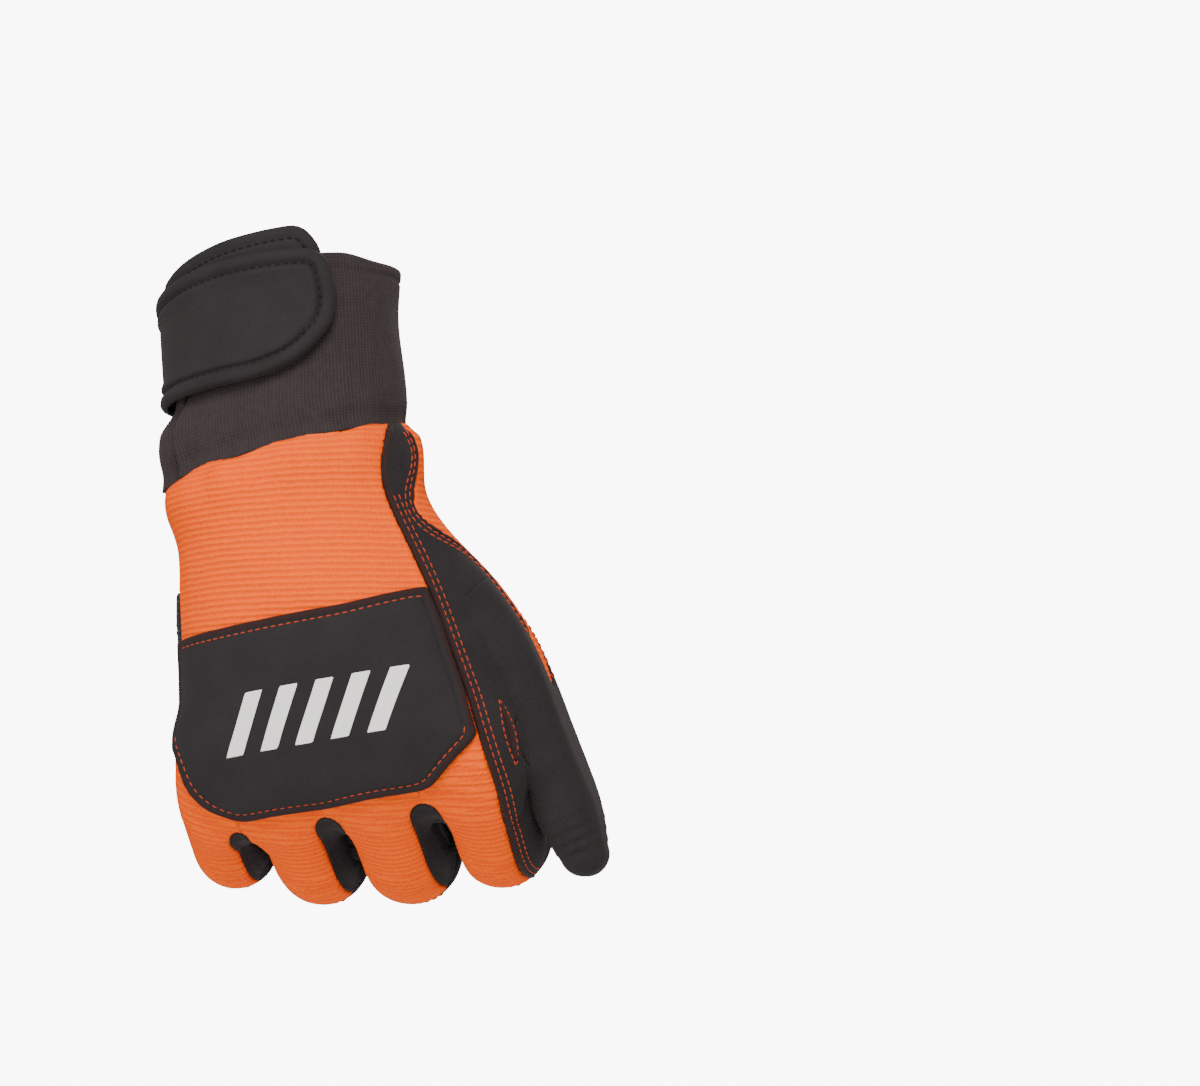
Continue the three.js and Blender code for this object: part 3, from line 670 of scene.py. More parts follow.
# Round a stray triangle, or a point where a panel touches itself, all goes to the panel that has most there
for _ in range(6):
    stray = []
    for own in (skin_triangles[label == n] for n in np.unique(label)):
        stray += [own[islands(own) < SMALL].ravel(), pinched(own)]
    for point in np.unique(np.concatenate(stray)):
        around = (skin_triangles == point).any(1)
        label[around] = np.bincount(label[around]).argmax()


SEAM_SINK = 0.9  # how far a panel's edge is drawn down
SEAM_ROLL = 2.6  # over this width
FOURCHETTE_SINK = 1.5  # how much deeper the walls between the fingers lie


def rolled(depth):
    """Height of a panel at a depth inside its edge: a quarter circle up from the seam, then flat."""
    x = np.clip(1 - depth / SEAM_ROLL, 0, 1)
    return SEAM_SINK * (np.sqrt(1 - x * x) - 1)


def groove(depth, at, deep, width):
    """A bell of a depth and width at a distance inside an edge."""
    return deep * np.exp(-((depth - at) / width) ** 2)


def creases(p):
    """Soft unevenness of worn cloth: crossing waves of 32 to 82 mm, and slanted folds across the hand's back."""
    x, y, z = p.T
    small = np.sin(x / 5.1 + 0.6 * np.sin(z / 9)) * np.sin(z / 7.3 + y / 11)
    small += 0.7 * np.sin((x + z) / 6.2 + 1.3) * np.sin(y / 6.1 - z / 13)
    broad = np.sin((0.8 * x + 0.5 * z) / 9.5 + 0.8)
    broad = broad * ease((-62 - z) / 15) * ease((z + 125) / 20) * ease(-y / 10)
    return 0.16 * small + 0.85 * broad


def wrist_gathers(p):
    """Puffed gathers below the cuff seam, fading out in 20 mm."""
    down = -seam_level(p)
    turn = np.arctan2(p[:, 1], p[:, 0])
    fade = ease(down / 4) * (1 - ease((down - 3) / 17))
    return fade * (0.9 + 0.5 * np.sin(9 * turn + 1) + 0.3 * np.sin(17 * turn))


# The thumb's join lies in the fold beside it
WITHOUT_GROOVE = {"side_panel": ("thumb",), "palm": ("thumb",), "thumb": ("side_panel", "palm")}
skin_lift = np.zeros(len(skin_points))
panels = {}
for number, name in enumerate(NAMES):
    own = skin_triangles[label == number]
    if name in ("above", "fingertips") or not len(own):
        continue
    used, faces = np.unique(own, return_inverse=True)
    faces = faces.reshape(-1, 3)
    rim = used[rim_of(faces)]
    if name in WITHOUT_GROOVE:
        others = [NAMES.index(other) for other in WITHOUT_GROOVE[name]]
        rim = np.setdiff1d(rim, skin_triangles[np.isin(label, others)])
    depth, _ = nearest_distance(skin_points[used], skin_points[rim])
    lift = rolled(depth) + creases(skin_points[used]) * ease(depth / 5) + wrist_gathers(skin_points[used])
    if name.endswith("fourchette"):
        lift -= FOURCHETTE_SINK * ease(depth / 2.2) - groove(depth, depth.max() * 0.8, 0.5, 0.8)
    skin_lift[used] = lift
    panels[name] = (used, faces, depth, lift)


# Meshes


def mesh_object(name, points, faces, cloth=None, depth=None):
    """A smooth mesh from points and faces in millimetres, with its place on the cloth as a UV map."""
    mesh = bpy.data.meshes.new(name)
    faces = np.asarray(faces)
    count, corners = faces.shape
    mesh.vertices.add(len(points))
    mesh.vertices.foreach_set("co", (np.asarray(points) * MM).astype(np.float32).ravel())
    mesh.loops.add(count * corners)
    mesh.loops.foreach_set("vertex_index", faces.astype(np.int32).ravel())
    mesh.polygons.add(count)
    mesh.polygons.foreach_set("loop_start", (np.arange(count) * corners).astype(np.int32))
    mesh.polygons.foreach_set("use_smooth", np.ones(count, bool))
    if cloth is not None:
        layer = mesh.uv_layers.new(name="cloth")
        layer.data.foreach_set("uv", np.asarray(cloth)[faces.ravel()].astype(np.float32).ravel())
    if depth is not None:
        edge = mesh.attributes.new("edge", "FLOAT", "POINT")
        edge.data.foreach_set("value", np.asarray(depth, np.float32))
    mesh.update()
    mesh.validate()
    thing = bpy.data.objects.new(name, mesh)
    bpy.context.scene.collection.objects.link(thing)
    return thing


def finished(thing, material, nodes=(), wall=0):
    """The piece with its material, in place of its nodes, with a wall inwards if it is cloth."""
    thing.data.materials.append(material)
    if wall:
        solid = thing.modifiers.new("wall", "SOLIDIFY")
        solid.thickness = wall * MM
        solid.offset = -1
    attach(thing, "root")
    if nodes:
        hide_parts(*nodes)
    return thing


# Materials


def linear(code):
    """An sRGB hex colour as linear red, green, blue and alpha."""
    value = np.array([int(code[k:k + 2], 16) for k in (1, 3, 5)]) / 255
    value = np.where(value <= 0.04045, value / 12.92, ((value + 0.055) / 1.055) ** 2.4)
    return (*value.tolist(), 1.0)


def add(tree, kind, links=(), **settings):
    """Adds a node with settings of its own, and links from an input's name or number to a value or socket."""
    node = tree.nodes.new(kind)
    for key, value in settings.items():
        setattr(node, key, value)
    for key, value in dict(links).items():
        if isinstance(value, bpy.types.NodeSocket):
            tree.links.new(value, node.inputs[key])
        else:
            node.inputs[key].default_value = value
    return node


def weighted(tree, *terms):
    """Sum of sockets times their weights."""
    total = 0.0
    for term, weight in terms:
        total = add(tree, "ShaderNodeMath", {0: term, 1: weight, 2: total}, operation="MULTIPLY_ADD").outputs[0]
    return total


def fabric(name, roughness, sheen=0.0, tint="#FFFFFF", specular=0.3):
    """A cloth material's node tree with its shader, before colour and relief are linked to it."""
    material = bpy.data.materials.new(name)
    material.use_nodes = True
    shader = material.node_tree.nodes["Principled BSDF"]
    for key, value in {"Roughness": roughness, "IOR": 1.5, "Specular IOR Level": specular, "Sheen Weight": sheen,
                       "Sheen Roughness": 0.45, "Sheen Tint": linear(tint)}.items():
        shader.inputs[key].default_value = value
    return material, material.node_tree, shader


def relief(tree, shader, height, distance, strength=1.0):
    """Bump of a height in 0 to 1 with its real depth in millimetres."""
    bump = add(tree, "ShaderNodeBump", {"Height": height, "Distance": distance * MM, "Strength": strength})
    tree.links.new(bump.outputs["Normal"], shader.inputs["Normal"])


def two_tones(tree, shader, share, dark, light):
    """Base colour between two tones, as hex codes or sockets, by a share from 0 to 1."""
    dark, light = (linear(tone) if isinstance(tone, str) else tone for tone in (dark, light))
    mix = add(tree, "ShaderNodeMix", {"Factor": share, "A": dark, "B": light}, data_type="RGBA")
    tree.links.new(mix.outputs["Result"], shader.inputs["Base Color"])
    return mix.outputs["Result"]


def speckle(tree, spacing, detail=3.0):
    """Noise on Object coordinates whose grains are a spacing in millimetres apart."""
    place = add(tree, "ShaderNodeTexCoord").outputs["Object"]
    links = {"Vector": place, "Scale": 1 / (spacing * MM), "Detail": detail}
    return add(tree, "ShaderNodeTexNoise", links).outputs[0]


def cloth_place(tree):
    """The piece's own place on the cloth, across and along, in millimetres."""
    split = add(tree, "ShaderNodeSeparateXYZ", {0: add(tree, "ShaderNodeUVMap", uv_map="cloth").outputs[0]})
    return split.outputs[0], split.outputs[1]


def sine(tree, place, spacing, operation="SINE"):
    """A sine or cosine of a place, with a spacing in millimetres."""
    turn = weighted(tree, (place, 2 * math.pi / spacing))
    return add(tree, "ShaderNodeMath", {0: turn}, operation=operation).outputs[0]


def ribs(tree, place, spacing):
    """A sine from 0 to 1 with a spacing in millimetres."""
    return weighted(tree, (sine(tree, place, spacing), 0.5), (1.0, 0.5))


def orange_knit():
    """Ribbed stretch polyester knit: ribs 2 mm apart across the hand, of loops 1.3 mm wide, matt and bright."""
    material, tree, shader = fabric("ribbed polyester knit", 0.85, specular=0.06)
    shader.inputs["Specular Tint"].default_value = linear("#FF7A20")
    across, along = cloth_place(tree)
    rib = ribs(tree, weighted(tree, (along, 1.0), (speckle(tree, 9.0), 0.9)), 2.0)
    loop = ribs(tree, across, 1.3)
    mottle = speckle(tree, 1.1)
    # The colour is darker in the grooves between the ribs, which is painted shade, and varies at random by the
    # mottle.
    two_tones(tree, shader, weighted(tree, (rib, 0.4), (mottle, 0.6)), "#E03A00", "#FF6A00")
    relief(tree, shader, weighted(tree, (rib, 0.8), (loop, 0.12), (mottle, 0.25)), 0.34)
    return material


def black_suede():
    """Microfibre suede: brushed, matt, with a soft nap whose light patches are about 9 mm apart."""
    material, tree, shader = fabric("microfibre suede", 0.92, 0.12, "#6A5A58")
    nap = weighted(tree, (speckle(tree, 9.0, 4), 0.7), (speckle(tree, 0.9), 0.3))
    two_tones(tree, shader, nap, "#120E0F", "#2A2425")
    relief(tree, shader, speckle(tree, 0.8), 0.16)
    return material


def cuff_knit():
    """Knit-faced neoprene of the cuff: fine wales 1.2 mm apart up the wrist, brownish black, matt."""
    material, tree, shader = fabric("knit-faced neoprene", 0.9, 0.15, "#7A6260")
    across, along = cloth_place(tree)
    wale = ribs(tree, weighted(tree, (across, 1.0), (speckle(tree, 6.0), 0.6)), 1.2)
    height = weighted(tree, (wale, 0.7), (ribs(tree, along, 1.0), 0.3))
    # The colour is darker in the grooves between the wales, which is painted shade, and varies at random.
    two_tones(tree, shader, weighted(tree, (height, 0.4), (speckle(tree, 2.5), 0.6)), "#1A1414", "#372C2C")
    relief(tree, shader, height, 0.22)
    return material


def neoprene(name="jersey-laminated neoprene", folded=0.0):
    """Neoprene laminated with a smooth nylon jersey: flat black, very fine grain, its folded edge red-brown."""
    material, tree, shader = fabric(name, 0.86, 0.1, "#6A5C5C")
    grain = weighted(tree, (speckle(tree, 0.9), 0.4), (speckle(tree, 14.0, 2), 0.6))
    colour = two_tones(tree, shader, grain, "#120D0E", "#252021")
    if folded:
        depth = add(tree, "ShaderNodeAttribute", attribute_name="edge").outputs["Fac"]
        edge = add(tree, "ShaderNodeMapRange", {0: depth, 1: folded - 0.4, 2: folded, 3: 1, 4: 0}).outputs[0]
        two_tones(tree, shader, edge, colour, "#24110F")
    relief(tree, shader, speckle(tree, 0.7), 0.1)
    return material


def grip_leather():
    """Synthetic leather with raised glossier dots 2.5 mm apart, in rows 1.1 mm apart, each shifted by half."""
    material, tree, shader = fabric("dot-embossed synthetic leather", 0.5)
    across, along = cloth_place(tree)
    dots = weighted(tree, (sine(tree, across, 2.5, "COSINE"), sine(tree, along, 2.2, "COSINE")))
    links = {0: dots, 1: 0.15, 2: 0.6}
    dot = add(tree, "ShaderNodeMapRange", links, interpolation_type="SMOOTHSTEP").outputs[0]
    # The raised dots are coloured lighter than the leather between them.
    two_tones(tree, shader, dot, "#1B1B1C", "#38393B")
    rough = add(tree, "ShaderNodeMapRange", {0: dot, 3: 0.62, 4: 0.4}).outputs[0]
    tree.links.new(rough, shader.inputs["Roughness"])
    relief(tree, shader, weighted(tree, (dot, 1.0), (speckle(tree, 0.6), 0.15)), 0.4)
    return material


def plain(name, code, roughness, sheen=0.0, grain=0.5, depth=0.06):
    """A single colour with a fine grain."""
    material, tree, shader = fabric(name, roughness, sheen)
    shader.inputs["Base Color"].default_value = linear(code)
    relief(tree, shader, speckle(tree, grain), depth)
    return material


KNIT, SUEDE, CUFF, NEOPRENE = orange_knit(), black_suede(), cuff_knit(), neoprene()
PATCH_CLOTH = neoprene("neoprene with a folded edge", 2.3)
GRIP = grip_leather()
# Bonded polyester sewing thread
ORANGE_THREAD = plain("rust polyester thread", "#A23410", 0.6, 0.0, 0.3)
BLACK_THREAD = plain("black polyester thread", "#060404", 0.8, 0.0, 0.3)
# Folded edge of the black cloth, which picks up a red-brown cast beside the orange
FOLD = plain("folded microfibre edge", "#24100E", 0.85, 0.05, 0.6)
PRINT = plain("screen-printed ink", "#E4E1DE", 0.6, 0, 0.4, 0.05)

CLOTH = "_cloth"  # ends the name of the piece that stands for a node
PANEL_FINISH = {"back_panel": (KNIT, "orange_knit"), "thumb_gusset": (KNIT, "orange_knit")}
for name, (used, faces, depth, lift) in panels.items():
    material, slot = PANEL_FINISH.get(name, (SUEDE, "black_suede"))
    points = skin_points[used] + skin_normals[used] * lift[:, None]
    piece = mesh_object(name + CLOTH, points, faces, fabric_map(skin_points[used]), depth)
    finished(piece, material, [name], SKIN_WALL)


# Lines on the skin: seams, piping and stitch rows


def run_along(line):
    """Length of a line up to each of its points."""
    return np.concatenate([[0], np.cumsum(np.linalg.norm(np.diff(line, axis=0), axis=1))])


def picked(values, run, at):
    """Values of a line's points at some lengths along it."""
    return np.stack([np.interp(at, run, column) for column in values.T], axis=1)


def resampled(line, spacing):
    """Points at equal steps along a line."""
    run = run_along(line)
    steps = max(int(round(run[-1] / spacing)), 2)
    return picked(line, run, np.linspace(0, run[-1], steps + 1))


def eased_line(line, rounds=4):
    """A line with each inner point moved to the mean of itself and its neighbours."""
    line = line.copy()
    for _ in range(rounds):
        line[1:-1] = (line[:-2] + 2 * line[1:-1] + line[2:]) / 4
    return line


def even_line(line):
    """A line on the skin smoothed, at steps of 1 mm."""
    return resampled(project(eased_line(resampled(eased_line(line), 1.5), 6), 1), 1.0)


def seam_between(first, second, key):
    """Points that two panels share, in the order of a key, as an even line."""
    shared = skin_points[np.intersect1d(panels[first][0], panels[second][0])]
    return even_line(shared[np.argsort(key(shared))])


def frame_of(line):
    """Tangent, outward normal and sideways direction at each point of a line on the skin."""
    tangent = unit(np.gradient(line, axis=0))
    normal = unit(gradient(hand_distance, line))
    return tangent, normal, unit(np.cross(normal, tangent))


def beside(line, offset, zone):
    """The line moved sideways on the skin, to the side where the zone's value is higher."""
    _, _, side = frame_of(line)
    up = in_chunks(zone, line + side * 1.5).mean() > in_chunks(zone, line - side * 1.5).mean()
    return project(eased_line(line + side * (offset if up else -offset), 3), 2)


def lifted(line, extra=0.0):
    """The line on the panels' surface, which stands off the hand form by the nearest point's lift."""
    _, k = nearest_distance(line, skin_points)
    return line + unit(gradient(hand_distance, line)) * (skin_lift[k] + extra)[:, None]


def instances(template, faces, centres, axes):
    """Copies of one small form: its points carried by each copy's three axes and centre."""
    points = np.einsum("nij,mi->nmj", axes, template) + centres[:, None, :]
    step = len(template) * np.arange(len(centres))[:, None, None]
    return points.reshape(-1, 3), (faces[None] + step).reshape(-1, faces.shape[1])


def bead(rings=5, sides=6):
    """A long bead: circles whose radius is the root of 1 - t^2, sunk at both ends, closed by points."""
    t = np.linspace(-0.96, 0.96, rings)
    turn = np.linspace(0, 2 * np.pi, sides, endpoint=False)
    radius = (1 - t ** 2) ** 0.4
    ring = np.stack([np.repeat(t, sides), np.outer(radius, np.cos(turn)).ravel(),
                     np.outer(radius, np.sin(turn)).ravel() - np.repeat(0.9 * t ** 2, sides)], axis=1)
    points = np.concatenate([ring, [[-1, 0, -0.95], [1, 0, -0.95]]])
    k = np.arange(sides)
    j = (k + 1) % sides
    last = (rings - 1) * sides
    starts = np.arange(0, last, sides)
    faces = [(start + k, start + sides + k, start + sides + j) for start in starts]
    faces += [(start + k, start + sides + j, start + j) for start in starts]
    faces += [(np.full(sides, last + sides), k, j), (np.full(sides, last + sides + 1), last + j, last + k)]
    return points, np.concatenate([np.stack(f, axis=1) for f in faces])[:, ::-1]


BEAD_POINTS, BEAD_FACES = bead()
STITCH = 2.7  # from one stitch to the next
THREAD = 0.28  # half its thickness


def stitch_row(line, normals, pitch=STITCH, thread=THREAD):
    """Stitches along a line on the surface: beads three quarters of a pitch long, one at each step."""
    run = run_along(line)
    at = np.arange(pitch / 2, run[-1] - pitch / 3, pitch)
    centre, normal = picked(line, run, at), unit(picked(normals, run, at))
    tangent = unit(picked(np.gradient(line, axis=0), run, at))
    axes = np.stack([tangent * 0.42 * pitch, np.cross(normal, tangent) * thread, normal * thread], axis=1)
    return instances(BEAD_POINTS, BEAD_FACES, centre, axes)


def joined(parts):
    """Several meshes as one."""
    points, faces, start = [], [], 0
    for p, f in parts:
        points.append(p)
        faces.append(f + start)
        start += len(p)
    return np.concatenate(points), np.concatenate(faces)


def sewn(name, parts, material=ORANGE_THREAD):
    """One piece that only the scene has, of several rows of stitches or folds."""
    return finished(mesh_object(name, *joined(parts)), material)


def stitches_on(lines, above=0.12, **sizes):
    """Stitch rows of several lines on the skin."""
    return [stitch_row(lifted(line, above), frame_of(line)[1], **sizes) for line in lines]


PIPING_SUNK = 0.25


def piping(line, width=1.9, height=0.75, sides=7):
    """A folded edge along a line: half an ellipse carried along it, closed below and at its ends."""
    _, normal, side = frame_of(line)
    base = lifted(line, -PIPING_SUNK)
    turn = np.linspace(0, np.pi, sides)
    taper = np.minimum(1, np.arange(len(line)) / 3.0 + 0.2)
    taper = np.minimum(taper, taper[::-1])[:, None, None]
    ring = (np.cos(turn)[None, :, None] * side[:, None] * width / 2
            + np.sin(turn)[None, :, None] * normal[:, None] * (height + PIPING_SUNK)) * taper
    points = (base[:, None] + ring).reshape(-1, 3)
    i = np.arange(len(line) - 1)[:, None]
    k = np.arange(sides)[None, :]
    j = (k + 1) % sides
    quads = np.stack([i * sides + k, i * sides + j, (i + 1) * sides + j, (i + 1) * sides + k], axis=-1)
    ends = np.arange(1, sides - 1)
    last = (len(line) - 1) * sides
    caps = np.concatenate([np.stack([0 * ends, ends + 1, ends], axis=1),
                           last + np.stack([0 * ends, ends, ends + 1], axis=1)])
    return points, np.concatenate([triangles_of(quads.reshape(-1, 4)), caps])


def down_the_cloth(p):
    """How far down the hand or along the finger a point lies."""
    return fabric_map(p)[:, 1]


def across_the_hand(p):
    """How far towards the thumb a point lies."""
    return p[:, 0]


def off_back(p):
    """To the thumb's side of the back seam."""
    return -back_zone(p)


def off_leaf(p):
    """Outside the orange leaf."""
    return -gusset_zone(p)


back_line = seam_between("back_panel", "side_panel", down_the_cloth)
gusset_rim = skin_points[panels["thumb_gusset"][0]][rim_of(panels["thumb_gusset"][1])]
gusset_middle = PALM_DEPTH * np.interp(share_down(gusset_rim), [-0.1, 0.2, 0.36, 0.8], [0.1, 0.12, 0.31, 0.36])


def gusset_edge(side):
    """One edge of the leaf, from the wrist to its point."""
    own = gusset_rim[((gusset_rim[:, 1] - gusset_middle) * side > 0) & (seam_level(gusset_rim) < -1.5)]
    return even_line(own[np.argsort(-own[:, 2])])


leaf_line, leaf_palm_line = gusset_edge(-1), gusset_edge(1)
ROWS_FROM = -80  # height where the rows beside the back seam start

seam_lines = []
for line, zone, insets in ((back_line[back_line[:, 2] < ROWS_FROM], off_back, (2.3, 4.3)),
                           (leaf_line, off_leaf, (2.2, 4.2)), (leaf_palm_line, off_leaf, (2.2, 4.2))):
    seam_lines += [beside(line, inset, zone) for inset in insets]
tip_lines = []
for finger in FINGER_NAMES:
    line = seam_between("back_panel", f"{finger}_fingertip", across_the_hand)[3:-3]
    tip_lines += [beside(line, inset, fingertip_zone) for inset in (1.8, 3.4)]
sewn("seam_stitches", stitches_on(seam_lines))
sewn("fingertip_stitches", stitches_on(tip_lines))
edges = [piping(beside(line, 0.9, zone)) for line, zone in ((back_line, off_back), (leaf_line, off_leaf))]
sewn("seam_piping", edges, FOLD)


def fingertip_seam(path):
    """Seam along one side of a fingertip, round its end and back along the other, projected onto the skin."""
    first = np.searchsorted(path["s"], path["cap"] + 4)
    along = path["points"][first:]
    radius = path["radius"][first:, None]
    across = unit(np.cross(path["along"][-1], path["palmar"][-1]))
    turn = np.linspace(0, np.pi, 9)[1:-1, None]
    end = along[-1] + radius[-1] * (np.cos(turn) * across + np.sin(turn) * path["along"][-1])
    line = np.concatenate([along + radius * across, end, (along - radius * across)[::-1]])
    return project(eased_line(resampled(project(line, 3), 1.2), 4), 2)


sewn("fingertip_seams", [piping(fingertip_seam(path), 1.7, 0.45) for path in paths.values()], FOLD)


# Patches sewn onto the skin


def refined(points, triangles):
    """Each triangle in four, by the middles of its edges."""
    edges, number, _ = edges_of(triangles)
    m = number + len(points)
    a, b, c = triangles.T
    faces = [(a, m[0], m[2]), (m[0], b, m[1]), (m[2], m[1], c), (m[0], m[1], m[2])]
    return (np.concatenate([points, points[edges].mean(1)]),
            np.concatenate([np.stack(f, axis=1) for f in faces]))


def layer(zone):
    """The part of the skin inside a zone, twice as fine, with each point's depth inside its rim."""
    points, triangles, side, _ = cut(skin_points, skin_triangles, in_chunks(zone, skin_points))
    triangles = triangles[side > 0]
    triangles = triangles[islands(triangles) > SMALL]
    for _ in range(3):
        triangles = triangles[~np.isin(triangles, pinched(triangles)).any(1)]
    used, faces = np.unique(triangles, return_inverse=True)
    points, faces = refined(points[used], faces.reshape(-1, 3))
    points = project(points, 1)
    depth, _ = nearest_distance(points, points[rim_of(faces)])
    return points, faces, depth


def round_edge(depth, thickness, width):
    """Height of a turned-down edge: a quarter of an ellipse over a width."""
    return thickness * np.sqrt(1 - np.clip(1 - depth / width, 0, 1) ** 2)


def rim_profile(depth, thickness, row):
    """Height of a sewn patch: a round turned-down edge, a channel at the stitch row, then a flat field."""
    return round_edge(depth, thickness, 1.3) - groove(depth, row, 0.5, 0.75) + 0.25 * ease((depth - row) / 5)


# across (of palm width) and at (of hand length)
KNUCKLE_PATCH = [(-0.52, 0.457), (-0.2, 0.452), (0.16, 0.437), (0.395, 0.405), (0.474, 0.73), (0.48, 0.81),
                 (0.324, 0.926), (0.05, 0.94), (-0.235, 0.946), (-0.33, 0.905), (-0.375, 0.85), (-0.395, 0.76)]
patch_outline = rounded(in_hand(KNUCKLE_PATCH), 4)


def knuckle_zone(p):
    """Inside the patch's outline seen from the back, up to the side seam and the back seam."""
    inside = np.minimum(outline_depth(p[:, 0], p[:, 2], patch_outline), back_zone(p) - 0.5)
    return np.minimum(inside, np.minimum(-palm_side(p) - 1, -p[:, 1]))


patch_points, patch_faces, patch_depth = layer(knuckle_zone)
PATCH_ROW = 3.1  # how far inside its edge the knuckle patch is sewn on
patch_lift = 0.25 + rim_profile(patch_depth, PATCH_THICKNESS - 0.2, PATCH_ROW) + creases(patch_points)
top = patch_points + unit(gradient(hand_distance, patch_points)) * patch_lift[:, None]
patch = mesh_object("knuckle_patch" + CLOTH, top, patch_faces, fabric_map(patch_points), patch_depth)
finished(patch, PATCH_CLOTH, ["knuckle_patch"], 1.5)


# Generic print in the middle of the patch: slanted bars
PRINT_AT = (6.0, -146.0)
BAR_PITCH, BAR_WIDE, BAR_HIGH, BAR_LEAN, BAR_SPAN = 12.0, 6.0, 19.0, 0.55, 60.0
PRINT_TURN = math.radians(2.0)


def bar_zone(p):
    """Inside one of a row of equal bars that lean to the right."""
    x, z = p[:, 0] - PRINT_AT[0], p[:, 2] - PRINT_AT[1]
    u = x * math.cos(PRINT_TURN) + z * math.sin(PRINT_TURN)
    v = z * math.cos(PRINT_TURN) - x * math.sin(PRINT_TURN)
    s = u - BAR_LEAN * v
    off_middle = np.abs(np.mod(s + BAR_PITCH / 2, BAR_PITCH) - BAR_PITCH / 2)
    within = np.minimum(BAR_HIGH / 2 - np.abs(v), BAR_SPAN / 2 - np.abs(s))
    return np.minimum(np.minimum(BAR_WIDE / 2 - off_middle, within), -palm_side(p))


ink_points, ink_triangles, side, _ = cut(patch_points, patch_faces, in_chunks(bar_zone, patch_points))
ink_used, ink_faces = np.unique(ink_triangles[side > 0], return_inverse=True)
ink_points = project(ink_points[ink_used], 1)
_, k = nearest_distance(ink_points, patch_points)
ink_points = ink_points + unit(gradient(hand_distance, ink_points)) * (patch_lift[k] + 0.12)[:, None]
finished(mesh_object("knuckle_print", ink_points, ink_faces.reshape(-1, 3)), PRINT, wall=0.1)

# Palm patch: the palm's field, carried on over the pad of the thumb
PALM_PATCH = [(-0.385, 0.34), (-0.28, 0.2), (-0.05, 0.135), (0.2, 0.2), (0.34, 0.36), (0.47, 0.53),
              (0.56, 0.66), (0.545, 0.8), (0.49, 0.9), (0.1, 0.86), (-0.2, 0.85), (-0.38, 0.8), (-0.4, 0.6)]
palm_outline = rounded(in_hand(PALM_PATCH), 9)
PAD_FACING = unit(np.array([-0.62, 0.78, 0.0]))  # which way the pad of the thumb looks
PAD_HALF = 13.5  # its half width on the thumb
PAD_RADIUS = 15  # of the thumb there
PAD_START, PAD_END = 0.5, 0.995  # of thumb length


def palm_patch_zone(p):
    """Inside the palm's outline seen from the palm, or on the thumb within a width of its pad's middle."""
    _, finger, _, _, _, thumb, station = hand_parts(p)
    field = np.minimum(outline_depth(p[:, 0], p[:, 2], palm_outline), palm_side(p) - 4)
    field = np.minimum(field, finger - 2)
    normal = unit(p - thumb_points[station])
    turn = np.arccos(np.clip(normal @ PAD_FACING, -1, 1))
    pad = np.minimum(PAD_HALF - turn * PAD_RADIUS, (PAD_END - thumb_at[station]) * THUMB_LENGTH)
    pad = np.minimum(pad, (thumb_at[station] - PAD_START) * THUMB_LENGTH)
    return np.maximum(field, np.where(thumb < 1.5, pad, OUTSIDE))


palm_points, palm_faces, palm_depth = layer(palm_patch_zone)
palm_lift = 0.2 + rim_profile(palm_depth, 1.3, 2.4) + creases(palm_points)
top = palm_points + unit(gradient(hand_distance, palm_points)) * palm_lift[:, None]
patch = mesh_object("palm_patch" + CLOTH, top, palm_faces, fabric_map(palm_points), palm_depth)
finished(patch, GRIP, ["palm_patch"], 1.0)


def ring_line(points, faces, depth, at):
    """The lines at a depth inside a layer's rim, found by cutting it there, each in order round it."""
    made, triangles, side, _ = cut(points, faces, depth - at)
    inner = triangles[side > 0]
    edges = np.concatenate([inner[:, [0, 1]], inner[:, [1, 2]], inner[:, [2, 0]]])
    codes = np.sort(edges, axis=1) @ np.array([len(made), 1])
    _, first, count = np.unique(codes, return_index=True, return_counts=True)
    rim = edges[first[count == 1]]
    following = dict(zip(rim[:, 0].tolist(), rim[:, 1].tolist()))
    loops = []
    while following:
        start, here = following.popitem()
        loop = [start]
        while here in following:
            loop.append(here)
            here = following.pop(here)
        loops.append(made[loop + [here]])
    return [loop for loop in loops if len(loop) > 12]


def kept_runs(loop, keep):
    """The parts of a closed line whose points are kept, each as a line of its own."""
    if keep.all():
        return [loop]
    start = int(np.argmin(keep))
    loop, keep = np.roll(loop, -start, axis=0), np.roll(keep, -start)
    ends = np.nonzero(np.diff(np.concatenate([[False], keep, [False]]).astype(int)))[0].reshape(-1, 2)
    return [loop[a:b] for a, b in ends if b - a > 12]


def row_on(line, points, lift):
    """A stitch row along a line on top of a sewn layer."""
    line = resampled(eased_line(resampled(line, 1.5), 3), 1.0)
    _, k = nearest_distance(line, points)
    normal = unit(gradient(hand_distance, line))
    return stitch_row(project(line, 1) + normal * (lift[k] + 0.05)[:, None], normal)


# The knuckle patch has a row along its own top and foot: at its sides it is sewn into the seams
rows = []
for loop in ring_line(patch_points, patch_faces, patch_depth, PATCH_ROW):
    own = outline_depth(loop[:, 0], loop[:, 2], patch_outline) < PATCH_ROW + 0.7
    rows += [row_on(line, patch_points, patch_lift) for line in kept_runs(loop, own)]
sewn("knuckle_patch_stitches", rows)

# The palm patch has two rows round its rim and two across it, from the heel of the hand to the index finger
DIAGONAL = np.array([(-34.0, 34.0, -71.0), (18.0, 34.0, -163.0)])
TO_ITS_SIDE = np.array([0.85, 0.0, 0.5])
rows = []
for at in (1.5, 3.6):
    rows += [row_on(loop, palm_points, palm_lift) for loop in ring_line(palm_points, palm_faces, palm_depth, at)]
share = np.linspace(0, 1, 100)[:, None]
for shift in (-1.1, 1.1):
    line = project(DIAGONAL[0] + (DIAGONAL[1] - DIAGONAL[0]) * share + TO_ITS_SIDE * shift, 8)
    off_patch, k = nearest_distance(line, palm_points)
    rows.append(row_on(line[(off_patch < 1.5) & (palm_depth[k] > 4.5)], palm_points, palm_lift))
sewn("palm_patch_stitches", rows)

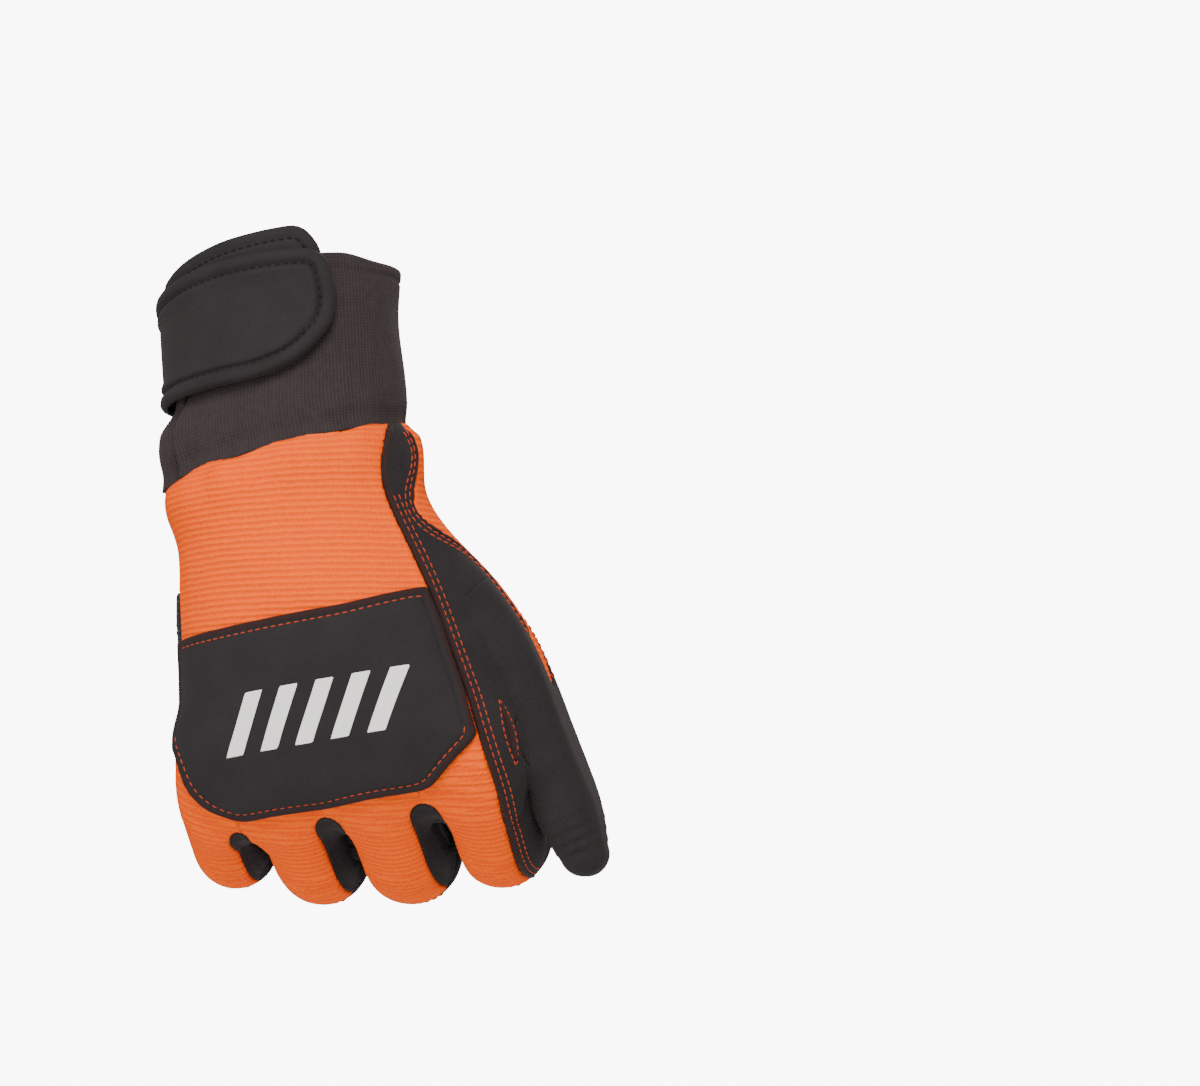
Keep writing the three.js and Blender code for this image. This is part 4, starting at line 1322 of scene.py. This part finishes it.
# Eye-shaped reinforcement sewn on where the side panel meets the thumb: a fold between two bowed rows
EYE_TOP = (62.0, -4.2)  # X and Y of its upper end
EYE_LEAN = (2.6, 3.2)  # how far it leans on its way down
EYE_MIDDLE = -159.2


def eye_line(bow, length):
    """A line down the eye, bowed towards the palm."""
    t = np.linspace(0, 1, 60)
    return project(np.stack([EYE_TOP[0] + EYE_LEAN[0] * t, EYE_TOP[1] + EYE_LEAN[1] * t + bow * np.sin(np.pi * t),
                             EYE_MIDDLE + length * (0.5 - t)], axis=1), 6)


sewn("crotch_fold", [piping(eye_line(0, 18.0), 2.2, 0.9)], FOLD)
sewn("crotch_stitches", stitches_on([eye_line(bow, 22.0) for bow in (-3.0, 3.0)], 0.1, pitch=2.3))


# The cuff and its strap

# at (of cuff length below the opening), shift and width (of cuff width), depth (of cuff depth), tilt
cuff_section = smooth_table([
    (-0.3, 0.035, 0.98, 1.0, 0), (0.0, 0.035, 0.98, 1.0, 0), (0.3, 0.02, 0.975, 0.97, 0.1),
    (0.62, 0.012, 0.975, 0.93, 0.3), (0.8, -0.012, 1.025, 0.93, 0.6), (1.0, -0.01, 1.03, 0.92, 1),
    (1.1, -0.01, 1.03, 0.92, 1)], window=0.08)
TURNS = np.linspace(-2.5 * np.pi, 0.5 * np.pi, 901)
around_x, around_y = np.cos(TURNS) * CUFF_WIDTH / 2, np.sin(TURNS) * CUFF_DEPTH / 2
RUNS = np.cumsum(np.hypot(np.gradient(around_x), np.gradient(around_y)))
RUNS = RUNS - np.interp(-np.pi / 2, TURNS, RUNS)  # length round the cuff from the middle of its back


def cuff_surface(turn, level, lift):
    """Point of the cuff's outside: an ellipse at its level, tilted with the seam, moved out by a lift."""
    shift, width, depth, tilt = cuff_section(-level / CUFF_LENGTH)
    a, b = width * CUFF_WIDTH / 2, depth * CUFF_DEPTH / 2
    x, y = a * np.cos(turn), b * np.sin(turn)
    out = unit(np.stack([b * np.cos(turn), a * np.sin(turn)], axis=-1))
    x = shift * CUFF_WIDTH + x + out[..., 0] * lift
    return np.stack([x, y + out[..., 1] * lift, level + SEAM_SLOPE * tilt * x], axis=-1)


def grid_faces(rows, columns):
    """Four-sided faces of a grid of points."""
    first = (np.arange(rows - 1)[:, None] * columns + np.arange(columns - 1)).ravel()
    return np.stack([first, first + columns, first + columns + 1, first + 1], axis=-1)


VENT_TURN = -np.pi + 0.87  # the slit is on the little finger's side, towards the back
VENT_LEAN = 0.22  # how far it turns on its way down
VENT_FOOT = -0.93 * CUFF_LENGTH
# half its width as a turn at the foot, how much it opens above, and over what height
VENT_SHUT, VENT_OPEN, VENT_RISE = 0.012, 0.05, 26
LIP, TUCK, SWELL = 2.1, 4.4, 4.2  # one edge stands out, the other goes under it and swells beside it
SWELL_AT, SWELL_WIDE = 17, 8
EDGE = 5  # width of the lip and the tuck
FLAT_ABOVE = -38  # level above which the strap presses the slit's edges flat
RIM_ROUND = 1.4


def cuff_mesh(around=240, up=64):
    """A C of knit from one edge of the slit to the other: outside, rolled rim, inside and foot as one loop."""
    outside = np.linspace(-CUFF_LENGTH - 1.0, -RIM_ROUND, up)
    arc = np.linspace(0, np.pi, 6)[1:-1]
    level = np.concatenate([outside, RIM_ROUND * np.sin(arc) - RIM_ROUND, outside[::-1]])[None, :]
    sink = np.concatenate([0 * outside, CUFF_WALL / 2 * (1 - np.cos(arc)), 0 * outside + CUFF_WALL])[None, :]
    share = np.linspace(0, 1, around)[:, None]
    gap = VENT_SHUT + VENT_OPEN * ease((level - VENT_FOOT) / VENT_RISE)
    turn = VENT_TURN - VENT_LEAN * ease(-level / CUFF_LENGTH) + gap + share * (2 * np.pi - 2 * gap)
    run = np.interp(np.mod(turn + 1.5 * np.pi, 2 * np.pi) - 1.5 * np.pi, TURNS, RUNS)
    after = share * np.pi * CUFF_WIDTH  # from the edge that stands out
    before = np.pi * CUFF_WIDTH - after  # from the edge that is tucked under
    lip = LIP * np.exp(-(after / EDGE) ** 2)
    tuck = -TUCK * np.exp(-(before / EDGE) ** 2) + SWELL * np.exp(-((before - SWELL_AT) / SWELL_WIDE) ** 2)
    ripple = 0.35 * np.sin(turn * 5 + level / 9) + 0.3 * np.sin(turn * 3 - level / 6 + 1)
    pinch = -1.3 * np.exp(-((level + CUFF_LENGTH - 3) / 4) ** 2) * (1 + 0.35 * np.sin(turn * 13))
    hem = -0.5 * np.exp(-((level + 5.5) / 0.9) ** 2) * (sink < 0.1)
    lift = -sink + (lip + tuck) * ease((FLAT_ABOVE - level) / 8) + ripple + pinch + hem
    drop = 2.6 * ease((level + 12) / 12) * ease((np.cos(turn) - 0.7) / 0.3)  # the opening dips at the thumb's side
    points = cuff_surface(turn, level - drop, lift)
    rows, columns = turn.shape
    cloth = np.stack([run, np.broadcast_to(level, turn.shape)], axis=-1)
    i = np.arange(rows - 1) * columns
    foot = np.stack([i + columns - 1, i + 2 * columns - 1, i + columns, i], axis=1)
    k = np.arange(columns // 2 - 1)
    end = np.stack([k, k + 1, columns - 2 - k, columns - 1 - k], axis=1)
    quads = [grid_faces(rows, columns), foot, end, (end + (rows - 1) * columns)[:, ::-1]]
    return points.reshape(-1, 3), np.concatenate(quads), cloth.reshape(-1, 2)


cuff_points, cuff_faces, cuff_cloth = cuff_mesh()
finished(mesh_object("cuff" + CLOTH, cuff_points, cuff_faces, cuff_cloth), CUFF, ["cuff"])


def cuff_run(across):
    """Distance along the cuff of a place across its back, from the middle of the back."""
    return np.interp(-np.arccos(np.clip(across * 2, -1, 1)), TURNS, RUNS)


STRAP_END = float(np.interp(-np.pi - math.acos(0.6), TURNS, RUNS))  # sewn end on the palm side
# across (of cuff width), up (of strap width): the upper and the lower edge, from the sewn end to the free one
UNDER_TOP = [(None, -0.15), (-0.44, 0.03), (-0.31, 0.12), (-0.12, 0.2), (0.08, 0.235), (0.215, 0.25),
             (0.285, 0.0)]
UNDER_FOOT = [(None, -0.95), (0.0, -0.85), (0.24, -0.75), (0.285, 0.0)]
TAB_TOP = [(None, -0.32), (-0.44, -0.08), (-0.3, -0.02), (-0.1, 0.02), (0.1, 0.035), (0.24, 0.02),
           (0.295, -0.08), (0.322, -0.4)]
TAB_FOOT = [(None, -1.08), (-0.3, -1.04), (0.0, -1.03), (0.125, -0.96), (0.205, -0.86), (0.3, -0.64),
            (0.322, -0.4)]
# distances of a strap layer's rows of points from its edges, closer where it is rounded and sewn
STRAP_ROWS = np.array([0, 0.3, 0.7, 1.2, 1.8, 2.6, 3.5, 4.4, 5.0, 5.4, 5.8, 6.3, 7.0, 8.5, 10.5, 13, 16])


def strap_outline(top, foot):
    """The closed outline of a strap layer with rounded corners, as places round the cuff and heights."""
    corners = [(STRAP_END if across is None else cuff_run(across), up * STRAP_WIDTH)
               for across, up in top + foot[:-1][::-1]]
    return rounded(corners, 5.0)


def strap_surface(run, height, lift):
    """Point of a strap layer: the place round the cuff at a distance along it, at a height and lift."""
    turn = np.interp(run, RUNS, TURNS)
    shift, width, _, tilt = cuff_section(-height / CUFF_LENGTH)
    x = shift * CUFF_WIDTH + width * CUFF_WIDTH / 2 * np.cos(turn)
    return cuff_surface(turn, height - SEAM_SLOPE * tilt * x, lift)


def strap_layer(name, top, foot, base, profile, columns=150):
    """A strap layer as a grid: columns along the cuff, rows from lower to upper edge, closer at the edges."""
    outline = strap_outline(top, foot)
    tip = outline[np.argmax(outline[:, 0])]
    parting = np.interp(outline[:, 0], [STRAP_END, tip[0]], [-0.7 * STRAP_WIDTH, tip[1]])
    upper, lower = (part[np.argsort(part[:, 0])]
                    for part in (outline[outline[:, 1] > parting], outline[outline[:, 1] <= parting]))
    t = np.linspace(0, 1, columns)
    run = STRAP_END + (tip[0] - 0.1 - STRAP_END) * (0.45 * np.sin(t * np.pi / 2) + 0.55 * (1 - (1 - t) ** 2.2))
    high, low = (np.interp(run, *part.T)[:, None] for part in (upper, lower))
    half, reach = (high - low) / 2, STRAP_ROWS[-1]
    up = STRAP_ROWS / reach * np.minimum(half, reach) + (STRAP_ROWS / reach) ** 3 * np.maximum(half - reach, 0)
    heights = np.concatenate([low + up, (high - up)[:, ::-1][:, 1:]], axis=1)
    places = np.stack([np.broadcast_to(run[:, None], heights.shape), heights], axis=-1).reshape(-1, 2)
    depth = np.maximum(outline_depth(*places.T, outline), 0)
    points = strap_surface(*places.T, base + profile(depth))
    return mesh_object(name + CLOTH, points, grid_faces(*heights.shape), places, depth), outline


def tab_profile(depth):
    """Raised padded border with a round edge, a sewn channel, a second fold, then a flat field a little lower."""
    border = round_edge(depth, 2.0, 1.7) + 0.5 * np.sin(np.pi * np.clip(depth / 4.8, 0, 1))
    channel = groove(depth, TAB_ROW, 1.15, 0.7)
    return border - channel + groove(depth, 6.6, 0.15, 0.9) - 0.6 * ease((depth - 7.2) / 1.0)


def under_profile(depth):
    """Flat layer with a round edge and a sewn hem."""
    return round_edge(depth, 1.5, 1.2) - groove(depth, HEM_ROW, 0.55, 0.7)


UNDER_BASE, TAB_BASE = 0.6, 2.7  # how far the layers lie above the cuff
TAB_ROW, HEM_ROW = 4.9, 4.4  # how far inside their edges they are sewn
under, under_outline = strap_layer("strap_under_layer", UNDER_TOP, UNDER_FOOT, UNDER_BASE, under_profile)
finished(under, NEOPRENE, ["strap_under_layer"], 1.3)
tab, tab_outline = strap_layer("strap_tab", TAB_TOP, TAB_FOOT, TAB_BASE, tab_profile)
finished(tab, NEOPRENE, ["strap_tab"], 1.6)


def strap_stitches(name, outline, inset, base, profile):
    """Stitches along a strap layer's outline, moved inside it by an inset."""
    ahead = unit(np.roll(outline, -1, axis=0) - np.roll(outline, 1, axis=0))
    line = outline + np.stack([ahead[:, 1], -ahead[:, 0]], axis=1) * inset  # the outline runs clockwise
    line = line[(outline_depth(*line.T, outline) > inset - 0.25) & (line[:, 0] > STRAP_END + inset)]
    line = resampled(line, 0.6)
    lift = base + profile(outline_depth(*line.T, outline)) + 0.1
    points = strap_surface(*line.T, lift)
    normals = unit(strap_surface(*line.T, lift + 1) - points)
    return sewn(name, [stitch_row(points, normals, thread=0.42)], BLACK_THREAD)


strap_stitches("strap_tab_stitches", tab_outline, TAB_ROW, TAB_BASE, tab_profile)
strap_stitches("strap_hem_stitches", under_outline, HEM_ROW, UNDER_BASE, under_profile)


# Floor, light and camera


FLOOR_HALF, FLOOR_AT = 3, -0.45


def floor():
    """A plain pale floor well below the glove."""
    mesh = bpy.data.meshes.new("floor")
    corners = [(x * FLOOR_HALF, y * FLOOR_HALF, FLOOR_AT) for x, y in ((-1, -1), (1, -1), (1, 1), (-1, 1))]
    mesh.from_pydata(corners, [], [(0, 1, 2, 3)])
    thing = bpy.data.objects.new("floor", mesh)
    bpy.context.scene.collection.objects.link(thing)
    material = bpy.data.materials.new("pale matt floor")
    material.use_nodes = True
    shader = material.node_tree.nodes["Principled BSDF"]
    shader.inputs["Base Color"].default_value = linear("#F4F4F4")
    shader.inputs["Roughness"].default_value = 0.9
    mesh.materials.append(material)


floor()
WORLD_LIGHT, WORLD_SEEN = 0.5, 9.0  # the studio's even light, and how bright its white backdrop looks
world = bpy.data.worlds.new("studio")
bpy.context.scene.world = world
world.use_nodes = True
backdrop = world.node_tree.nodes["Background"]
backdrop.inputs["Color"].default_value = (1, 1, 1, 1)
seen = add(world.node_tree, "ShaderNodeLightPath").outputs["Is Camera Ray"]
strength = add(world.node_tree, "ShaderNodeMapRange", {0: seen, 3: WORLD_LIGHT, 4: WORLD_SEEN}).outputs[0]
world.node_tree.links.new(strength, backdrop.inputs["Strength"])


def softbox(name, place, aim, size, power):
    """A square soft light that looks at a point."""
    light = bpy.data.lights.new(name, "AREA")
    light.size = size
    light.energy = power
    thing = bpy.data.objects.new(name, light)
    thing.location = place
    thing.rotation_mode = "QUATERNION"
    thing.rotation_quaternion = (Vector(aim) - Vector(place)).to_track_quat("-Z", "Y")
    bpy.context.scene.collection.objects.link(thing)


MIDDLE = (0.015, 0.0, -0.1)
softbox("key", (0.35, -1.0, 0.6), MIDDLE, 0.5, 21)
softbox("fill", (-0.8, -0.8, 0.1), MIDDLE, 0.6, 5)
softbox("rim", (0.1, 0.7, 0.7), MIDDLE, 0.5, 5)

# Camera: seen from the thumb side and from below the hand's level, rolled so that the fingers lean right
AZIMUTH, ELEVATION, ROLL = map(math.radians, (14, -9, -6))
CAMERA_AT = (0.4242, -1.3036, -0.3153)
FOCAL, IMAGE_WIDTH, SENSOR = 4270, 1200, 36.0  # focal length in the photograph's pixels
outward = Vector((math.sin(AZIMUTH), -math.cos(AZIMUTH), 0))
back = outward * math.cos(ELEVATION) + Vector((0, 0, math.sin(ELEVATION)))
level_right = Vector((math.cos(AZIMUTH), math.sin(AZIMUTH), 0))
level_up = back.cross(level_right)
right = level_right * math.cos(ROLL) + level_up * math.sin(ROLL)
up = level_up * math.cos(ROLL) - level_right * math.sin(ROLL)
camera_data = bpy.data.cameras.new("camera")
camera_data.sensor_width = SENSOR
camera_data.lens = FOCAL * SENSOR / IMAGE_WIDTH
camera = bpy.data.objects.new("camera", camera_data)
camera.matrix_world = Matrix.Translation(CAMERA_AT) @ Matrix((right, up, back)).transposed().to_4x4()
bpy.context.scene.collection.objects.link(camera)
bpy.context.scene.camera = camera
